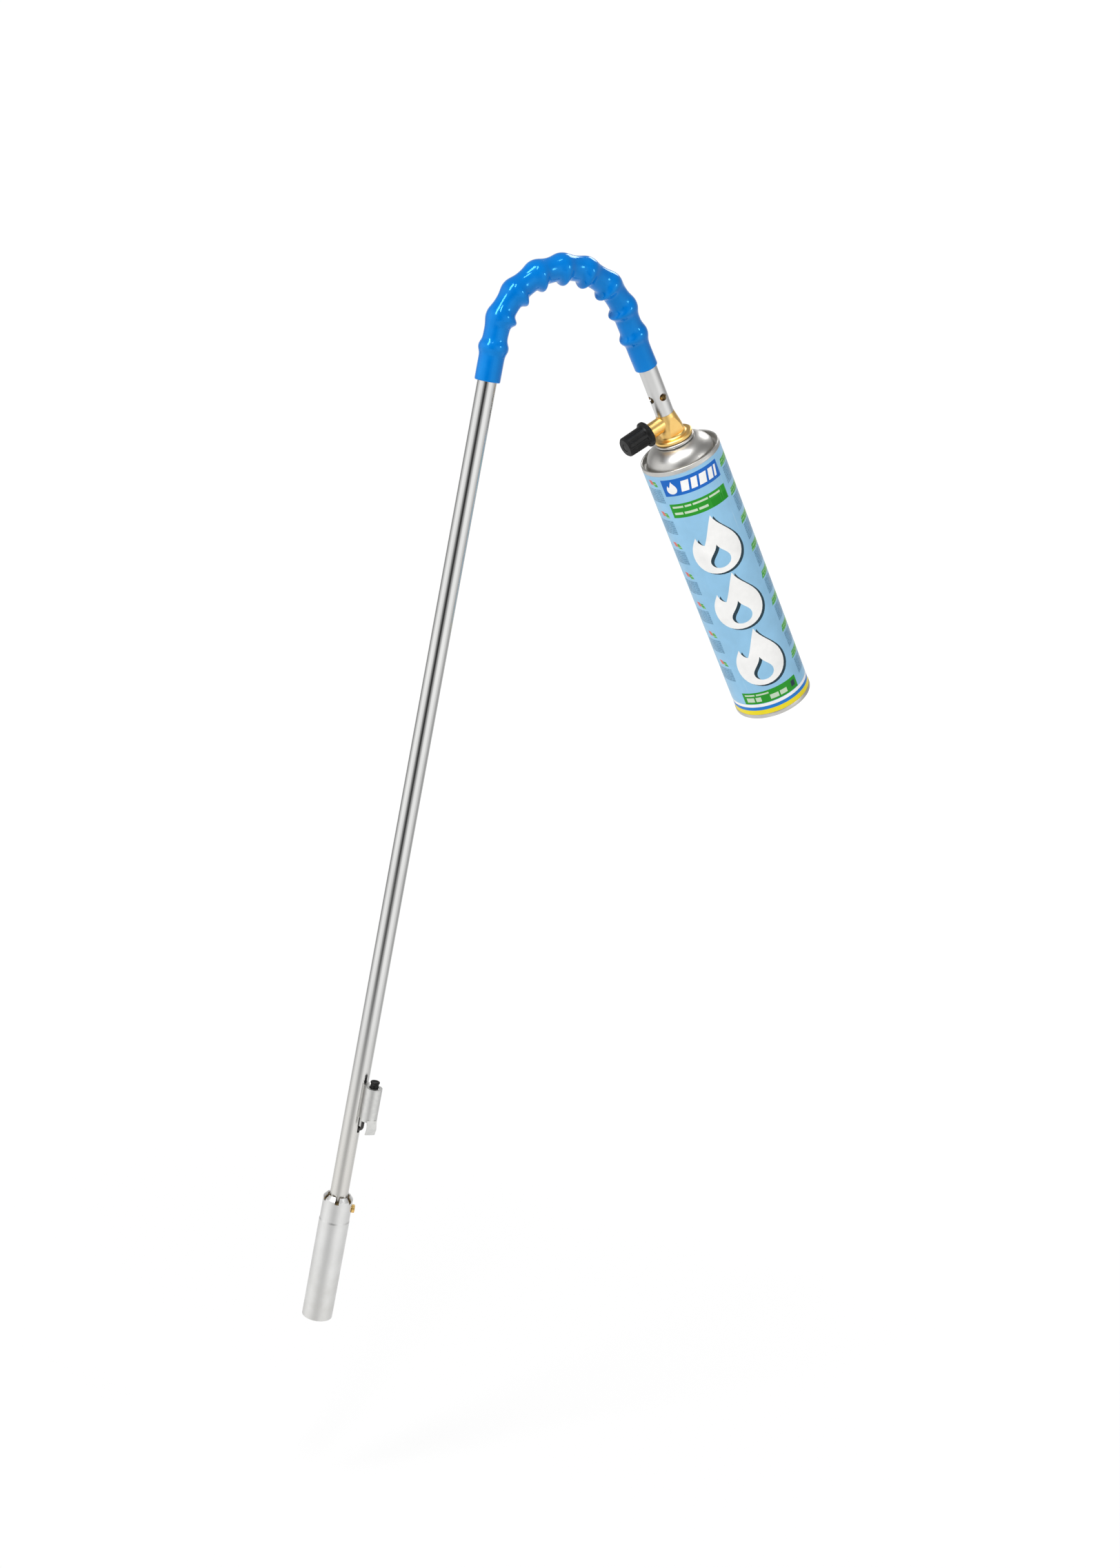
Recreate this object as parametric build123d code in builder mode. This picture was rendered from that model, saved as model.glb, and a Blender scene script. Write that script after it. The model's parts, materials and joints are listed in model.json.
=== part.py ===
from build123d import *
import math
import os

os.makedirs("parts", exist_ok=True)

# Cane-shaped gas torch. Millimetres.
# The origin is on the tube's centre line, where the straight lance meets the hand bend.
# +Z runs up the lance, and +X points from the lance towards the gas cartridge. The bend lies in XZ.

# ---------------------------------------------------------------- driving dimensions
TUBE_R = 7.5
TUBE_WALL = 1.0
BEND_R = 61.5
BEND_DEG = 142.5
LANCE_END = -722.0

# Distances along the short leg, measured from the end of the bend towards the cartridge.
SLEEVE_END = 49.0
AIR_HOLES = 75.0
LEG_END = 90.3
KNOB_AXIS = 97.3
FLANGE_TOP = 109.5
FLANGE_FOOT = 112.5
CAN_RIM = 125.6
PRINT_TOP = 129.2
PRINT_FOOT = 365.4
CAN_FOOT = 369.4

SLEEVE_START = 32.0
SLEEVE_WALL = 2.0
RIB_COUNT = 9
RIB_FIRST = -6.3
RIB_PITCH = 22.4
RIB_R = 11.6
RIB_WIDTH = 6.0

HEAD_TOP = -697.0
CROWN_BEND = -700.3
HEAD_MOUTH = -806.0
HEAD_R = 12.5
HEAD_WALL = 0.8
SCREW_Z = -708.7
SCREW_TURN = -25.0

IGNITER_TURN = -62.0
IGNITER_OFFSET = 14.7
CLIP_TOP = -598.4
CLIP_FOOT = -626.6
CLIP_R = 6.8
SHEET = 0.8
PRESS_TRAVEL = 4.5

CAN_R = 33.0
CAN_WALL = 0.6
CUP_R = 16.2
THREAD_R = 5.55
RUNNING = 0.05

# ---------------------------------------------------------------- reference frames
BEND = math.radians(BEND_DEG)
BEND_LENGTH = BEND_R * BEND
BEND_FOOT = Vector(BEND_R * (1 - math.cos(BEND)), 0, BEND_R * math.sin(BEND))
LEG = Vector(math.sin(BEND), 0, math.cos(BEND))
TO_LANCE = Vector(math.cos(BEND), 0, -math.sin(BEND))

leg_plane = Plane(origin=BEND_FOOT, x_dir=TO_LANCE, z_dir=LEG)
leg_section = Plane(origin=BEND_FOOT, x_dir=TO_LANCE, z_dir=(0, -1, 0))
leg_axis = Axis(BEND_FOOT, LEG)

knob_origin = BEND_FOOT + LEG * KNOB_AXIS
knob_plane = Plane(origin=knob_origin, x_dir=(0, 1, 0), z_dir=TO_LANCE)
knob_section = Plane(origin=knob_origin, x_dir=LEG, z_dir=(0, 1, 0))
knob_axis = Axis(knob_origin, TO_LANCE)

turn = math.radians(IGNITER_TURN)
OUTWARD = Vector(math.cos(turn), math.sin(turn), 0)
SIDEWAYS = Vector(math.sin(turn), -math.cos(turn), 0)
igniter_centre = OUTWARD * IGNITER_OFFSET
igniter_section = Plane(origin=igniter_centre, x_dir=OUTWARD, z_dir=SIDEWAYS)
igniter_axis = Axis(igniter_centre, (0, 0, 1))
lead_section = Plane(origin=(0, 0, 0), x_dir=OUTWARD, z_dir=SIDEWAYS)


def across_lance(z, degrees):
    """A plane on the lance's axis at height z that faces outwards at the given turn."""
    angle = math.radians(degrees)
    return Plane(origin=(0, 0, z), x_dir=(0, 0, 1), z_dir=(math.cos(angle), math.sin(angle), 0))


def igniter_plane(z):
    """A level plane on the igniter's axis, with X pointing away from the lance."""
    return Plane(origin=igniter_centre + Vector(0, 0, z), x_dir=OUTWARD, z_dir=(0, 0, 1))


def grip_plane(distance):
    """A plane across the tube's centre line, at a distance past the start of the bend."""
    if distance <= 0:
        return Plane(origin=(0, 0, distance), z_dir=(0, 0, 1))
    if distance >= BEND_LENGTH:
        return leg_plane.offset(distance - BEND_LENGTH)
    angle = distance / BEND_R
    centre = (BEND_R * (1 - math.cos(angle)), 0, BEND_R * math.sin(angle))
    return Plane(origin=centre, x_dir=(0, 1, 0), z_dir=(math.sin(angle), 0, math.cos(angle)))


def cane_line(below, past):
    """The tube's centre line, from a distance below the bend to a distance past it."""
    with BuildLine(Plane.XZ) as line:
        Line((0, -below), (0, 0))
        JernArc(start=(0, 0), tangent=(0, 1), radius=BEND_R, arc_size=-BEND_DEG)
        foot = (BEND_FOOT.X, BEND_FOOT.Z)
        Line(foot, (foot[0] + past * LEG.X, foot[1] + past * LEG.Z))
    return line.line


# ---------------------------------------------------------------- lance and grip
AIR_HOLE_R = 3.1
LEAD_TURN = CLIP_FOOT - 9.0
LEAD_INSIDE = CLIP_FOOT - 13.0
LEAD_SLOT_TOP = LEAD_TURN + 0.9
LEAD_SLOT_FOOT = LEAD_INSIDE - 0.9
LEAD_SLOT_WIDTH = 3.6

with BuildPart() as lance_tube:
    with BuildSketch(Plane.XY.offset(LANCE_END)):
        Circle(TUBE_R)
        Circle(TUBE_R - TUBE_WALL, mode=Mode.SUBTRACT)
    sweep(path=cane_line(-LANCE_END, LEG_END))
    # Four air inlets round the short leg
    for facing in (TO_LANCE, Vector(0, 1, 0)):
        with BuildSketch(Plane(origin=BEND_FOOT + LEG * AIR_HOLES, z_dir=facing)):
            Circle(AIR_HOLE_R)
        extrude(amount=TUBE_R + 1, both=True, mode=Mode.SUBTRACT)
    # Slot where the ignition lead goes in
    with BuildSketch(across_lance((LEAD_SLOT_TOP + LEAD_SLOT_FOOT) / 2, IGNITER_TURN)):
        SlotOverall(LEAD_SLOT_TOP - LEAD_SLOT_FOOT, LEAD_SLOT_WIDTH)
    extrude(amount=TUBE_R + 1, mode=Mode.SUBTRACT)
lance_tube.part.label = "lance_tube"
export_step(lance_tube.part, "parts/lance_tube.step")

with BuildPart() as grip_sleeve:
    with BuildSketch(Plane.XY.offset(-SLEEVE_START)):
        Circle(TUBE_R + SLEEVE_WALL)
    sweep(path=cane_line(SLEEVE_START, SLEEVE_END))
    for index in range(RIB_COUNT):
        rib_middle = grip_plane(RIB_FIRST + RIB_PITCH * index)
        with BuildSketch(rib_middle.offset(-RIB_WIDTH / 2)):
            Circle(RIB_R - 1.2)
        with BuildSketch(rib_middle):
            Circle(RIB_R)
        with BuildSketch(rib_middle.offset(RIB_WIDTH / 2)):
            Circle(RIB_R - 1.2)
        loft()
    with BuildSketch(Plane.XY.offset(-SLEEVE_START)):
        Circle(TUBE_R + RUNNING)
    sweep(path=cane_line(SLEEVE_START, SLEEVE_END), mode=Mode.SUBTRACT)
grip_sleeve.part.label = "grip_sleeve"
export_step(grip_sleeve.part, "parts/grip_sleeve.step")

# ---------------------------------------------------------------- burner head
CROWN_TIP_R = 9.4
SWAGE = 0.3
SWAGE_TOP = -718.5
SWAGE_FOOT = -720.0
CROWN_SLOTS = 6
CROWN_SLOT_WIDTH = 3.2
CROWN_SLOT_FOOT = -702.3
SCREW_R = 2.0
SCREW_HEAD_R = 3.4
SCREW_HEAD_HEIGHT = 2.4
HEAD_BORE = HEAD_R - HEAD_WALL

# A plain tube whose slotted end is swaged in by SWAGE to grip the nozzle.
# The crown's tabs are bent in towards the lance.
with BuildPart() as burner_shroud:
    with BuildSketch(Plane.XZ):
        with BuildLine():
            Polyline(
                (HEAD_R, HEAD_MOUTH),
                (HEAD_R, SWAGE_FOOT),
                (HEAD_R - SWAGE, SWAGE_TOP),
                (HEAD_R - SWAGE, CROWN_BEND),
                (CROWN_TIP_R, HEAD_TOP),
                (CROWN_TIP_R - 0.6, HEAD_TOP - 0.6),
                (HEAD_BORE - SWAGE, CROWN_BEND - 0.3),
                (HEAD_BORE - SWAGE, SWAGE_TOP),
                (HEAD_BORE, SWAGE_FOOT),
                (HEAD_BORE, HEAD_MOUTH),
                close=True,
            )
        make_face()
    revolve(axis=Axis.Z)
    with BuildSketch(Plane.XY.offset(HEAD_TOP)):
        with PolarLocations((CROWN_TIP_R + HEAD_R) / 2, CROWN_SLOTS, start_angle=IGNITER_TURN):
            Rectangle(HEAD_R - CROWN_TIP_R + 4, CROWN_SLOT_WIDTH)
    extrude(amount=CROWN_SLOT_FOOT - HEAD_TOP, mode=Mode.SUBTRACT)
    with BuildSketch(across_lance(SCREW_Z, SCREW_TURN)):
        Circle(SCREW_R + 0.2)
    extrude(amount=HEAD_R + 1, mode=Mode.SUBTRACT)
burner_shroud.part.label = "burner_shroud"
export_step(burner_shroud.part, "parts/burner_shroud.step")

HEX_TOP = -704.5
HEX_FOOT = -718.0
NOZZLE_FOOT = -741.0
NOZZLE_R = 9.6
SOCKET_FOOT = -722.5
HOLDER_TOP = -737.0
HOLDER_FOOT = -740.0
HOLDER_R = 8.0

with BuildPart() as nozzle_body:
    with BuildSketch(Plane.XY.offset(HEX_FOOT)):
        RegularPolygon(HEAD_BORE - SWAGE - 0.1, 6, rotation=SCREW_TURN + 30)
    extrude(amount=HEX_TOP - HEX_FOOT)
    with BuildSketch(Plane.XY.offset(NOZZLE_FOOT)):
        Circle(NOZZLE_R)
    extrude(amount=HEX_FOOT - NOZZLE_FOOT)
    with BuildSketch(Plane.XZ):
        with BuildLine():
            Polyline(
                (0, HEX_TOP),
                (TUBE_R + RUNNING, HEX_TOP),
                (TUBE_R + RUNNING, SOCKET_FOOT),
                (TUBE_R - TUBE_WALL, SOCKET_FOOT),
                (TUBE_R - TUBE_WALL, HOLDER_TOP),
                (HOLDER_R + RUNNING, HOLDER_TOP),
                (HOLDER_R + RUNNING, NOZZLE_FOOT),
                (0, NOZZLE_FOOT),
                close=True,
            )
        make_face()
    revolve(axis=Axis.Z, mode=Mode.SUBTRACT)
    with BuildSketch(across_lance(SCREW_Z, SCREW_TURN)):
        Circle(SCREW_R + 0.02)
    extrude(amount=HEAD_R, mode=Mode.SUBTRACT)
nozzle_body.part.label = "nozzle_body"
export_step(nozzle_body.part, "parts/nozzle_body.step")

LEAD_R = 1.3
LEAD_OFFSET = 4.0
INSULATOR_R = 2.0
PORTS = 9
PORT_R = 0.9

with BuildPart() as flame_holder:
    with BuildSketch(Plane.XY.offset(HOLDER_FOOT)):
        Circle(HOLDER_R)
        with Locations(OUTWARD * LEAD_OFFSET):
            Circle(INSULATOR_R + RUNNING, mode=Mode.SUBTRACT)
        with PolarLocations(6.7, PORTS * 2, start_angle=IGNITER_TURN):
            Circle(0.6, mode=Mode.SUBTRACT)
        # The inner ring of ports leaves out the three places next to the insulator.
        with PolarLocations(4.4, PORTS - 3, start_angle=IGNITER_TURN + 75, angular_range=210, endpoint=True):
            Circle(PORT_R, mode=Mode.SUBTRACT)
        with PolarLocations(1.6, 3, start_angle=IGNITER_TURN + 180, angular_range=100):
            Circle(0.5, mode=Mode.SUBTRACT)
    extrude(amount=HOLDER_TOP - HOLDER_FOOT)
flame_holder.part.label = "flame_holder"
export_step(flame_holder.part, "parts/flame_holder.step")

with BuildPart() as clamp_screw:
    with BuildSketch(across_lance(SCREW_Z, SCREW_TURN).offset(TUBE_R + RUNNING)):
        Circle(SCREW_R)
    extrude(amount=HEAD_R - TUBE_R)
    with BuildSketch(across_lance(SCREW_Z, SCREW_TURN).offset(HEAD_R - SWAGE + RUNNING)):
        Circle(SCREW_HEAD_R)
    extrude(amount=SCREW_HEAD_HEIGHT)
    screw_axis = Axis((0, 0, SCREW_Z), across_lance(SCREW_Z, SCREW_TURN).z_dir)
    chamfer(clamp_screw.faces().sort_by(screw_axis)[-1].edges(), 0.4)
    with BuildSketch(across_lance(SCREW_Z, SCREW_TURN).offset(HEAD_R - SWAGE + SCREW_HEAD_HEIGHT - 1.1)):
        Rectangle(1.0, 2 * SCREW_HEAD_R + 1, rotation=35)
    extrude(amount=2, mode=Mode.SUBTRACT)
clamp_screw.part.label = "clamp_screw"
export_step(clamp_screw.part, "parts/clamp_screw.step")

INSULATOR_TOP = -716.0
INSULATOR_FOOT = -748.0
ELECTRODE_R = 0.6
ELECTRODE_TIP = -760.0

with BuildPart() as electrode_insulator:
    with BuildSketch(lead_section):
        with BuildLine():
            Polyline(
                (LEAD_OFFSET + ELECTRODE_R + RUNNING, INSULATOR_TOP),
                (LEAD_OFFSET + INSULATOR_R, INSULATOR_TOP),
                (LEAD_OFFSET + INSULATOR_R, INSULATOR_FOOT + 1.2),
                (LEAD_OFFSET + INSULATOR_R - 0.8, INSULATOR_FOOT),
                (LEAD_OFFSET + ELECTRODE_R + RUNNING, INSULATOR_FOOT),
                close=True,
            )
        make_face()
    revolve(axis=Axis(OUTWARD * LEAD_OFFSET, (0, 0, 1)))
electrode_insulator.part.label = "electrode_insulator"
export_step(electrode_insulator.part, "parts/electrode_insulator.step")

with BuildPart() as electrode:
    with BuildLine(lead_section) as electrode_path:
        FilletPolyline(
            (LEAD_OFFSET, INSULATOR_TOP - 0.3),
            (LEAD_OFFSET, ELECTRODE_TIP),
            (HEAD_BORE - 3.5, ELECTRODE_TIP - 1.5),
            radius=2.0,
        )
    with BuildSketch(Plane(origin=electrode_path.line @ 0, z_dir=(0, 0, -1))):
        Circle(ELECTRODE_R)
    sweep(path=electrode_path.line)
electrode.part.label = "electrode"
export_step(electrode.part, "parts/electrode.step")

# ---------------------------------------------------------------- igniter
SADDLE_TURN = -22.0
SADDLE_HALF_ANGLE = 54.0
TONGUE_TURN = -94.0
TONGUE_WIDTH = 8.4
TONGUE_FOOT = CLIP_FOOT - 10.0
PLUNGER_R = 3.45
CAP_R = PLUNGER_R + 0.35
LIP_BORE = CAP_R + 0.4
tongue_turn = math.radians(TONGUE_TURN)
tongue_section = Plane(
    origin=igniter_centre,
    x_dir=(math.cos(tongue_turn), math.sin(tongue_turn), 0),
    z_dir=(math.sin(tongue_turn), -math.cos(tongue_turn), 0),
)

with BuildPart() as igniter_clip:
    with BuildSketch(Plane.XY.offset(CLIP_FOOT)):
        with Locations(igniter_centre):
            Circle(CLIP_R)
        # Saddle that hugs the far side of the lance, as a sector of a ring
        with BuildLine():
            saddle = CenterArc(
                (0, 0), TUBE_R + RUNNING + SHEET, SADDLE_TURN - SADDLE_HALF_ANGLE, 2 * SADDLE_HALF_ANGLE
            )
            Line(saddle @ 0, (0, 0))
            Line((0, 0), saddle @ 1)
        make_face()
        Circle(TUBE_R + RUNNING, mode=Mode.SUBTRACT)
        with Locations(igniter_centre):
            Circle(CLIP_R - SHEET, mode=Mode.SUBTRACT)
        # The rolled sheet doesn't quite close on the side away from the tongue
        with Locations(igniter_centre - SIDEWAYS * CLIP_R):
            Rectangle(2.4, 3, rotation=IGNITER_TURN, mode=Mode.SUBTRACT)
    extrude(amount=CLIP_TOP - CLIP_FOOT)
    # Lip turned in at the top, round the button
    with BuildSketch(igniter_plane(CLIP_TOP - SHEET)):
        Circle(CLIP_R)
        Circle(LIP_BORE, mode=Mode.SUBTRACT)
    extrude(amount=SHEET)
    with BuildSketch(tongue_section):
        with BuildLine():
            Polyline(
                (CLIP_R - SHEET, CLIP_FOOT + 2.0),
                (CLIP_R, CLIP_FOOT + 2.0),
                (CLIP_R + 1.9, CLIP_FOOT - 4.5),
                (CLIP_R + 0.4, TONGUE_FOOT),
                (CLIP_R - SHEET + 0.4, TONGUE_FOOT + 0.2),
                (CLIP_R + 1.9 - SHEET, CLIP_FOOT - 4.5),
                close=True,
            )
        make_face()
    extrude(amount=TONGUE_WIDTH / 2, both=True)
igniter_clip.part.label = "igniter_clip"
export_step(igniter_clip.part, "parts/igniter_clip.step")

PIEZO_R = CLIP_R - SHEET - RUNNING
PIEZO_TOP = CLIP_TOP - 3.8
PIEZO_FOOT = CLIP_FOOT + 0.5
PLUNGER_FOOT = -611.5
BUTTON_TOP = -593.1
SPRING_FOOT = -620.6
LEAD_START = 10.2

with BuildPart() as piezo_body:
    with BuildSketch(igniter_section):
        with BuildLine():
            Polyline(
                (0, SPRING_FOOT),
                (PLUNGER_R + 0.08, SPRING_FOOT),
                (PLUNGER_R + 0.08, PIEZO_TOP),
                (PIEZO_R, PIEZO_TOP),
                (PIEZO_R, PIEZO_FOOT),
                (0, PIEZO_FOOT),
                close=True,
            )
        make_face()
    revolve(axis=igniter_axis)
    # Socket for the lead on the side next to the lance, and pocket for the crystal
    with BuildSketch(Plane.XY.offset(PIEZO_FOOT)):
        with Locations(OUTWARD * LEAD_START):
            Circle(LEAD_R + RUNNING)
    extrude(amount=3.0, mode=Mode.SUBTRACT)
    with BuildSketch(igniter_plane(PIEZO_FOOT)):
        Circle(2.5)
    extrude(amount=4.0, mode=Mode.SUBTRACT)
piezo_body.part.label = "piezo_body"
export_step(piezo_body.part, "parts/piezo_body.step")

with BuildPart() as piezo_crystal:
    with BuildSketch(igniter_plane(PIEZO_FOOT + 0.05)):
        Circle(2.45)
    extrude(amount=3.9)
piezo_crystal.part.label = "piezo_crystal"
export_step(piezo_crystal.part, "parts/piezo_crystal.step")

with BuildPart() as piezo_button:
    with BuildSketch(igniter_section):
        with BuildLine():
            Polyline(
                (0, PLUNGER_FOOT),
                (PLUNGER_R, PLUNGER_FOOT),
                (PLUNGER_R, BUTTON_TOP - 4.2),
                (PLUNGER_R - 0.2, BUTTON_TOP - 2.6),
                (CAP_R, BUTTON_TOP - 0.9),
                (CAP_R, BUTTON_TOP - 0.3),
                (CAP_R - 0.3, BUTTON_TOP),
                (CAP_R - 1.1, BUTTON_TOP),
                (CAP_R - 1.8, BUTTON_TOP - 0.5),
                (0, BUTTON_TOP - 0.5),
                close=True,
            )
        make_face()
    revolve(axis=igniter_axis)
piezo_button.part.label = "piezo_button"
export_step(piezo_button.part, "parts/piezo_button.step")

SPRING_R = 2.3
SPRING_WIRE = 0.35
SPRING_PITCH = 2.3

with BuildPart() as button_spring:
    spring_length = PLUNGER_FOOT - SPRING_FOOT - 2 * SPRING_WIRE - 0.2
    with BuildLine(igniter_plane(SPRING_FOOT + SPRING_WIRE + 0.1)) as spring_line:
        Helix(pitch=SPRING_PITCH, height=spring_length, radius=SPRING_R)
    with BuildSketch(Plane(origin=spring_line.line @ 0, z_dir=spring_line.line % 0)):
        Circle(SPRING_WIRE)
    sweep(path=spring_line.line)
button_spring.part.label = "button_spring"
export_step(button_spring.part, "parts/button_spring.step")

with BuildPart() as ignition_lead:
    with BuildLine(lead_section) as lead_path:
        FilletPolyline(
            (LEAD_START, PIEZO_FOOT + 2.5),
            (LEAD_START, LEAD_TURN),
            (LEAD_OFFSET, LEAD_INSIDE),
            (LEAD_OFFSET, INSULATOR_TOP),
            radius=3.0,
        )
    with BuildSketch(Plane(origin=lead_path.line @ 0, z_dir=lead_path.line % 0)):
        Circle(LEAD_R)
    sweep(path=lead_path.line)
ignition_lead.part.label = "ignition_lead"
export_step(ignition_lead.part, "parts/ignition_lead.step")

# ---------------------------------------------------------------- valve
BARREL_R = 10.0
BARREL_WAIST = 102.6
BODY_FLAT = 8.2
SPIGOT_TOP = 81.0
BOSS_R = 6.2
BOSS_START = 6.1
BOSS_END = 19.7
FLANGE_R = 15.7
CHAMBER_R = 3.0
CHAMBER_END = 2.0
ORIFICE_R = 1.02
GLAND_FOOT = 13.3
GLAND_R = 4.2
JET_R = 3.0
JET_DEPTH = 8.5
OUTLET_R = 1.2
OUTLET_END = KNOB_AXIS - 0.3
THREAD_TOP = 102.0

with BuildPart() as valve_body:
    # Turned section, with the jet thread and outlet at one end and the cartridge thread at the other
    with BuildSketch(leg_section):
        with BuildLine():
            Polyline(
                (JET_R + 0.02, SPIGOT_TOP),
                (TUBE_R - TUBE_WALL - RUNNING, SPIGOT_TOP),
                (TUBE_R - TUBE_WALL - RUNNING, LEG_END + 0.1),
                (TUBE_R + 0.1, LEG_END + 0.1),
                (BARREL_R, BARREL_WAIST),
                (BARREL_R + 0.4, FLANGE_TOP - 2.2),
            )
            ThreePointArc(
                (BARREL_R + 0.4, FLANGE_TOP - 2.2),
                (BARREL_R + 1.0, FLANGE_TOP - 0.7),
                (BARREL_R + 2.4, FLANGE_TOP),
            )
            Polyline(
                (BARREL_R + 2.4, FLANGE_TOP),
                (FLANGE_R - 0.7, FLANGE_TOP),
                (FLANGE_R, FLANGE_TOP + 0.7),
                (FLANGE_R, FLANGE_FOOT - 0.5),
                (FLANGE_R - 0.5, FLANGE_FOOT),
                (THREAD_R + 0.07, FLANGE_FOOT),
                (THREAD_R + 0.07, THREAD_TOP),
                (0, THREAD_TOP),
                (0, OUTLET_END),
                (OUTLET_R, OUTLET_END),
                (OUTLET_R, SPIGOT_TOP + JET_DEPTH),
                (JET_R + 0.02, SPIGOT_TOP + JET_DEPTH),
                (JET_R + 0.02, SPIGOT_TOP),
            )
        make_face()
    revolve(axis=leg_axis)
    # Spanner flats on the forged body
    with BuildSketch(leg_plane.offset(LEG_END + 1.6)):
        with Locations((0, BODY_FLAT + 4), (0, -BODY_FLAT - 4)):
            Rectangle(30, 8)
    extrude(amount=FLANGE_TOP - 1.8 - LEG_END - 1.6, mode=Mode.SUBTRACT)
    with BuildSketch(knob_plane.offset(BOSS_START)):
        Circle(BOSS_R)
    extrude(amount=BOSS_END - BOSS_START)
    # Spindle chamber, gland thread and metering orifice, drilled from the knob side
    with BuildSketch(knob_plane.offset(CHAMBER_END)):
        Circle(CHAMBER_R)
    extrude(amount=BOSS_END, mode=Mode.SUBTRACT)
    with BuildSketch(knob_plane.offset(GLAND_FOOT)):
        Circle(GLAND_R + 0.02)
    extrude(amount=BOSS_END, mode=Mode.SUBTRACT)
    with BuildSketch(knob_plane.offset(-1.4)):
        Circle(ORIFICE_R)
    extrude(amount=CHAMBER_END + 2, mode=Mode.SUBTRACT)
    # Slanted inlet from the cartridge to the spindle chamber, and the opener pin's seat
    inlet_foot = BEND_FOOT + LEG * (THREAD_TOP + 0.5) + TO_LANCE * 1.6
    inlet_top = knob_origin + TO_LANCE * 5.0
    with BuildSketch(Plane(origin=inlet_foot, z_dir=inlet_top - inlet_foot)):
        Circle(0.7)
    extrude(amount=(inlet_top - inlet_foot).length, mode=Mode.SUBTRACT)
    with BuildSketch(leg_plane.offset(THREAD_TOP - 2.0)):
        with Locations((-0.6, 0)):
            Circle(0.62)
    extrude(amount=2.5, mode=Mode.SUBTRACT)
valve_body.part.label = "valve_body"
export_step(valve_body.part, "parts/valve_body.step")

with BuildPart() as gas_jet:
    with BuildSketch(leg_plane.offset(SPIGOT_TOP)):
        Circle(JET_R)
    extrude(amount=8.3)
    with BuildSketch(leg_plane.offset(SPIGOT_TOP - 3.0)):
        RegularPolygon(4.4, 6)
    extrude(amount=3.0)
    with BuildSketch(leg_plane.offset(SPIGOT_TOP - 6.5)):
        Circle(2.0)
    extrude(amount=4.0)
    with BuildSketch(leg_plane.offset(SPIGOT_TOP + 2.0)):
        Circle(2.05)
    extrude(amount=8.0, mode=Mode.SUBTRACT)
    with BuildSketch(leg_plane.offset(SPIGOT_TOP - 7.0)):
        Circle(0.3)
    extrude(amount=10.0, mode=Mode.SUBTRACT)
gas_jet.part.label = "gas_jet"
export_step(gas_jet.part, "parts/gas_jet.step")

with BuildPart() as jet_filter:
    with BuildSketch(leg_plane.offset(SPIGOT_TOP + 4.5)):
        Circle(2.0)
    extrude(amount=3.0)
jet_filter.part.label = "jet_filter"
export_step(jet_filter.part, "parts/jet_filter.step")

with BuildPart() as opener_pin:
    with BuildSketch(leg_plane.offset(THREAD_TOP - 1.9)):
        with Locations((-0.6, 0)):
            Circle(0.6)
    extrude(amount=6.4)
opener_pin.part.label = "opener_pin"
export_step(opener_pin.part, "parts/opener_pin.step")

with BuildPart() as cartridge_seal:
    with BuildSketch(leg_plane.offset(THREAD_TOP)):
        Circle(THREAD_R)
        Circle(2.8, mode=Mode.SUBTRACT)
    extrude(amount=2.0)
cartridge_seal.part.label = "cartridge_seal"
export_step(cartridge_seal.part, "parts/cartridge_seal.step")

# ---------------------------------------------------------------- spindle and knob
SPINDLE_R = 2.0
SPINDLE_END = 38.5
RING_MIDDLE = 9.2
RING_SECTION = 0.7
KNOB_START = 20.4
KNOB_FLANGE = 3.6
KNOB_FLANGE_R = 10.6
KNOB_R = 8.4
KNOB_END = 43.6
SCREW_SEAT = 39.5

with BuildPart() as gland_screw:
    with BuildSketch(knob_plane.offset(GLAND_FOOT)):
        Circle(GLAND_R)
        Circle(SPINDLE_R + RUNNING, mode=Mode.SUBTRACT)
    extrude(amount=BOSS_END - GLAND_FOOT)
    with BuildSketch(knob_plane.offset(BOSS_END - 1.2)):
        Rectangle(1.0, 2 * GLAND_R + 1)
    extrude(amount=2, mode=Mode.SUBTRACT)
gland_screw.part.label = "gland_screw"
export_step(gland_screw.part, "parts/gland_screw.step")

with BuildPart() as valve_spindle:
    with BuildSketch(knob_section):
        with BuildLine():
            Polyline(
                (0, 1.2),
                (0.45, 1.2),
                (SPINDLE_R, 3.6),
                (SPINDLE_R, 4.2),
                (CHAMBER_R - RUNNING, 4.2),
                (CHAMBER_R - RUNNING, RING_MIDDLE - 0.9),
                (1.5, RING_MIDDLE - 0.9),
                (1.5, RING_MIDDLE + 0.9),
                (2.6, RING_MIDDLE + 0.9),
                (2.6, RING_MIDDLE + 1.4),
                (SPINDLE_R, RING_MIDDLE + 1.4),
                (SPINDLE_R, SPINDLE_END),
                (1.27, SPINDLE_END),
                (1.27, SPINDLE_END - 7.5),
                (0, SPINDLE_END - 7.5),
                close=True,
            )
        make_face()
    revolve(axis=knob_axis)
valve_spindle.part.label = "valve_spindle"
export_step(valve_spindle.part, "parts/valve_spindle.step")

with BuildPart() as spindle_o_ring:
    with BuildSketch(knob_section):
        with Locations((1.55 + RING_SECTION, RING_MIDDLE)):
            Circle(RING_SECTION)
    revolve(axis=knob_axis)
spindle_o_ring.part.label = "spindle_o_ring"
export_step(spindle_o_ring.part, "parts/spindle_o_ring.step")

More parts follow.
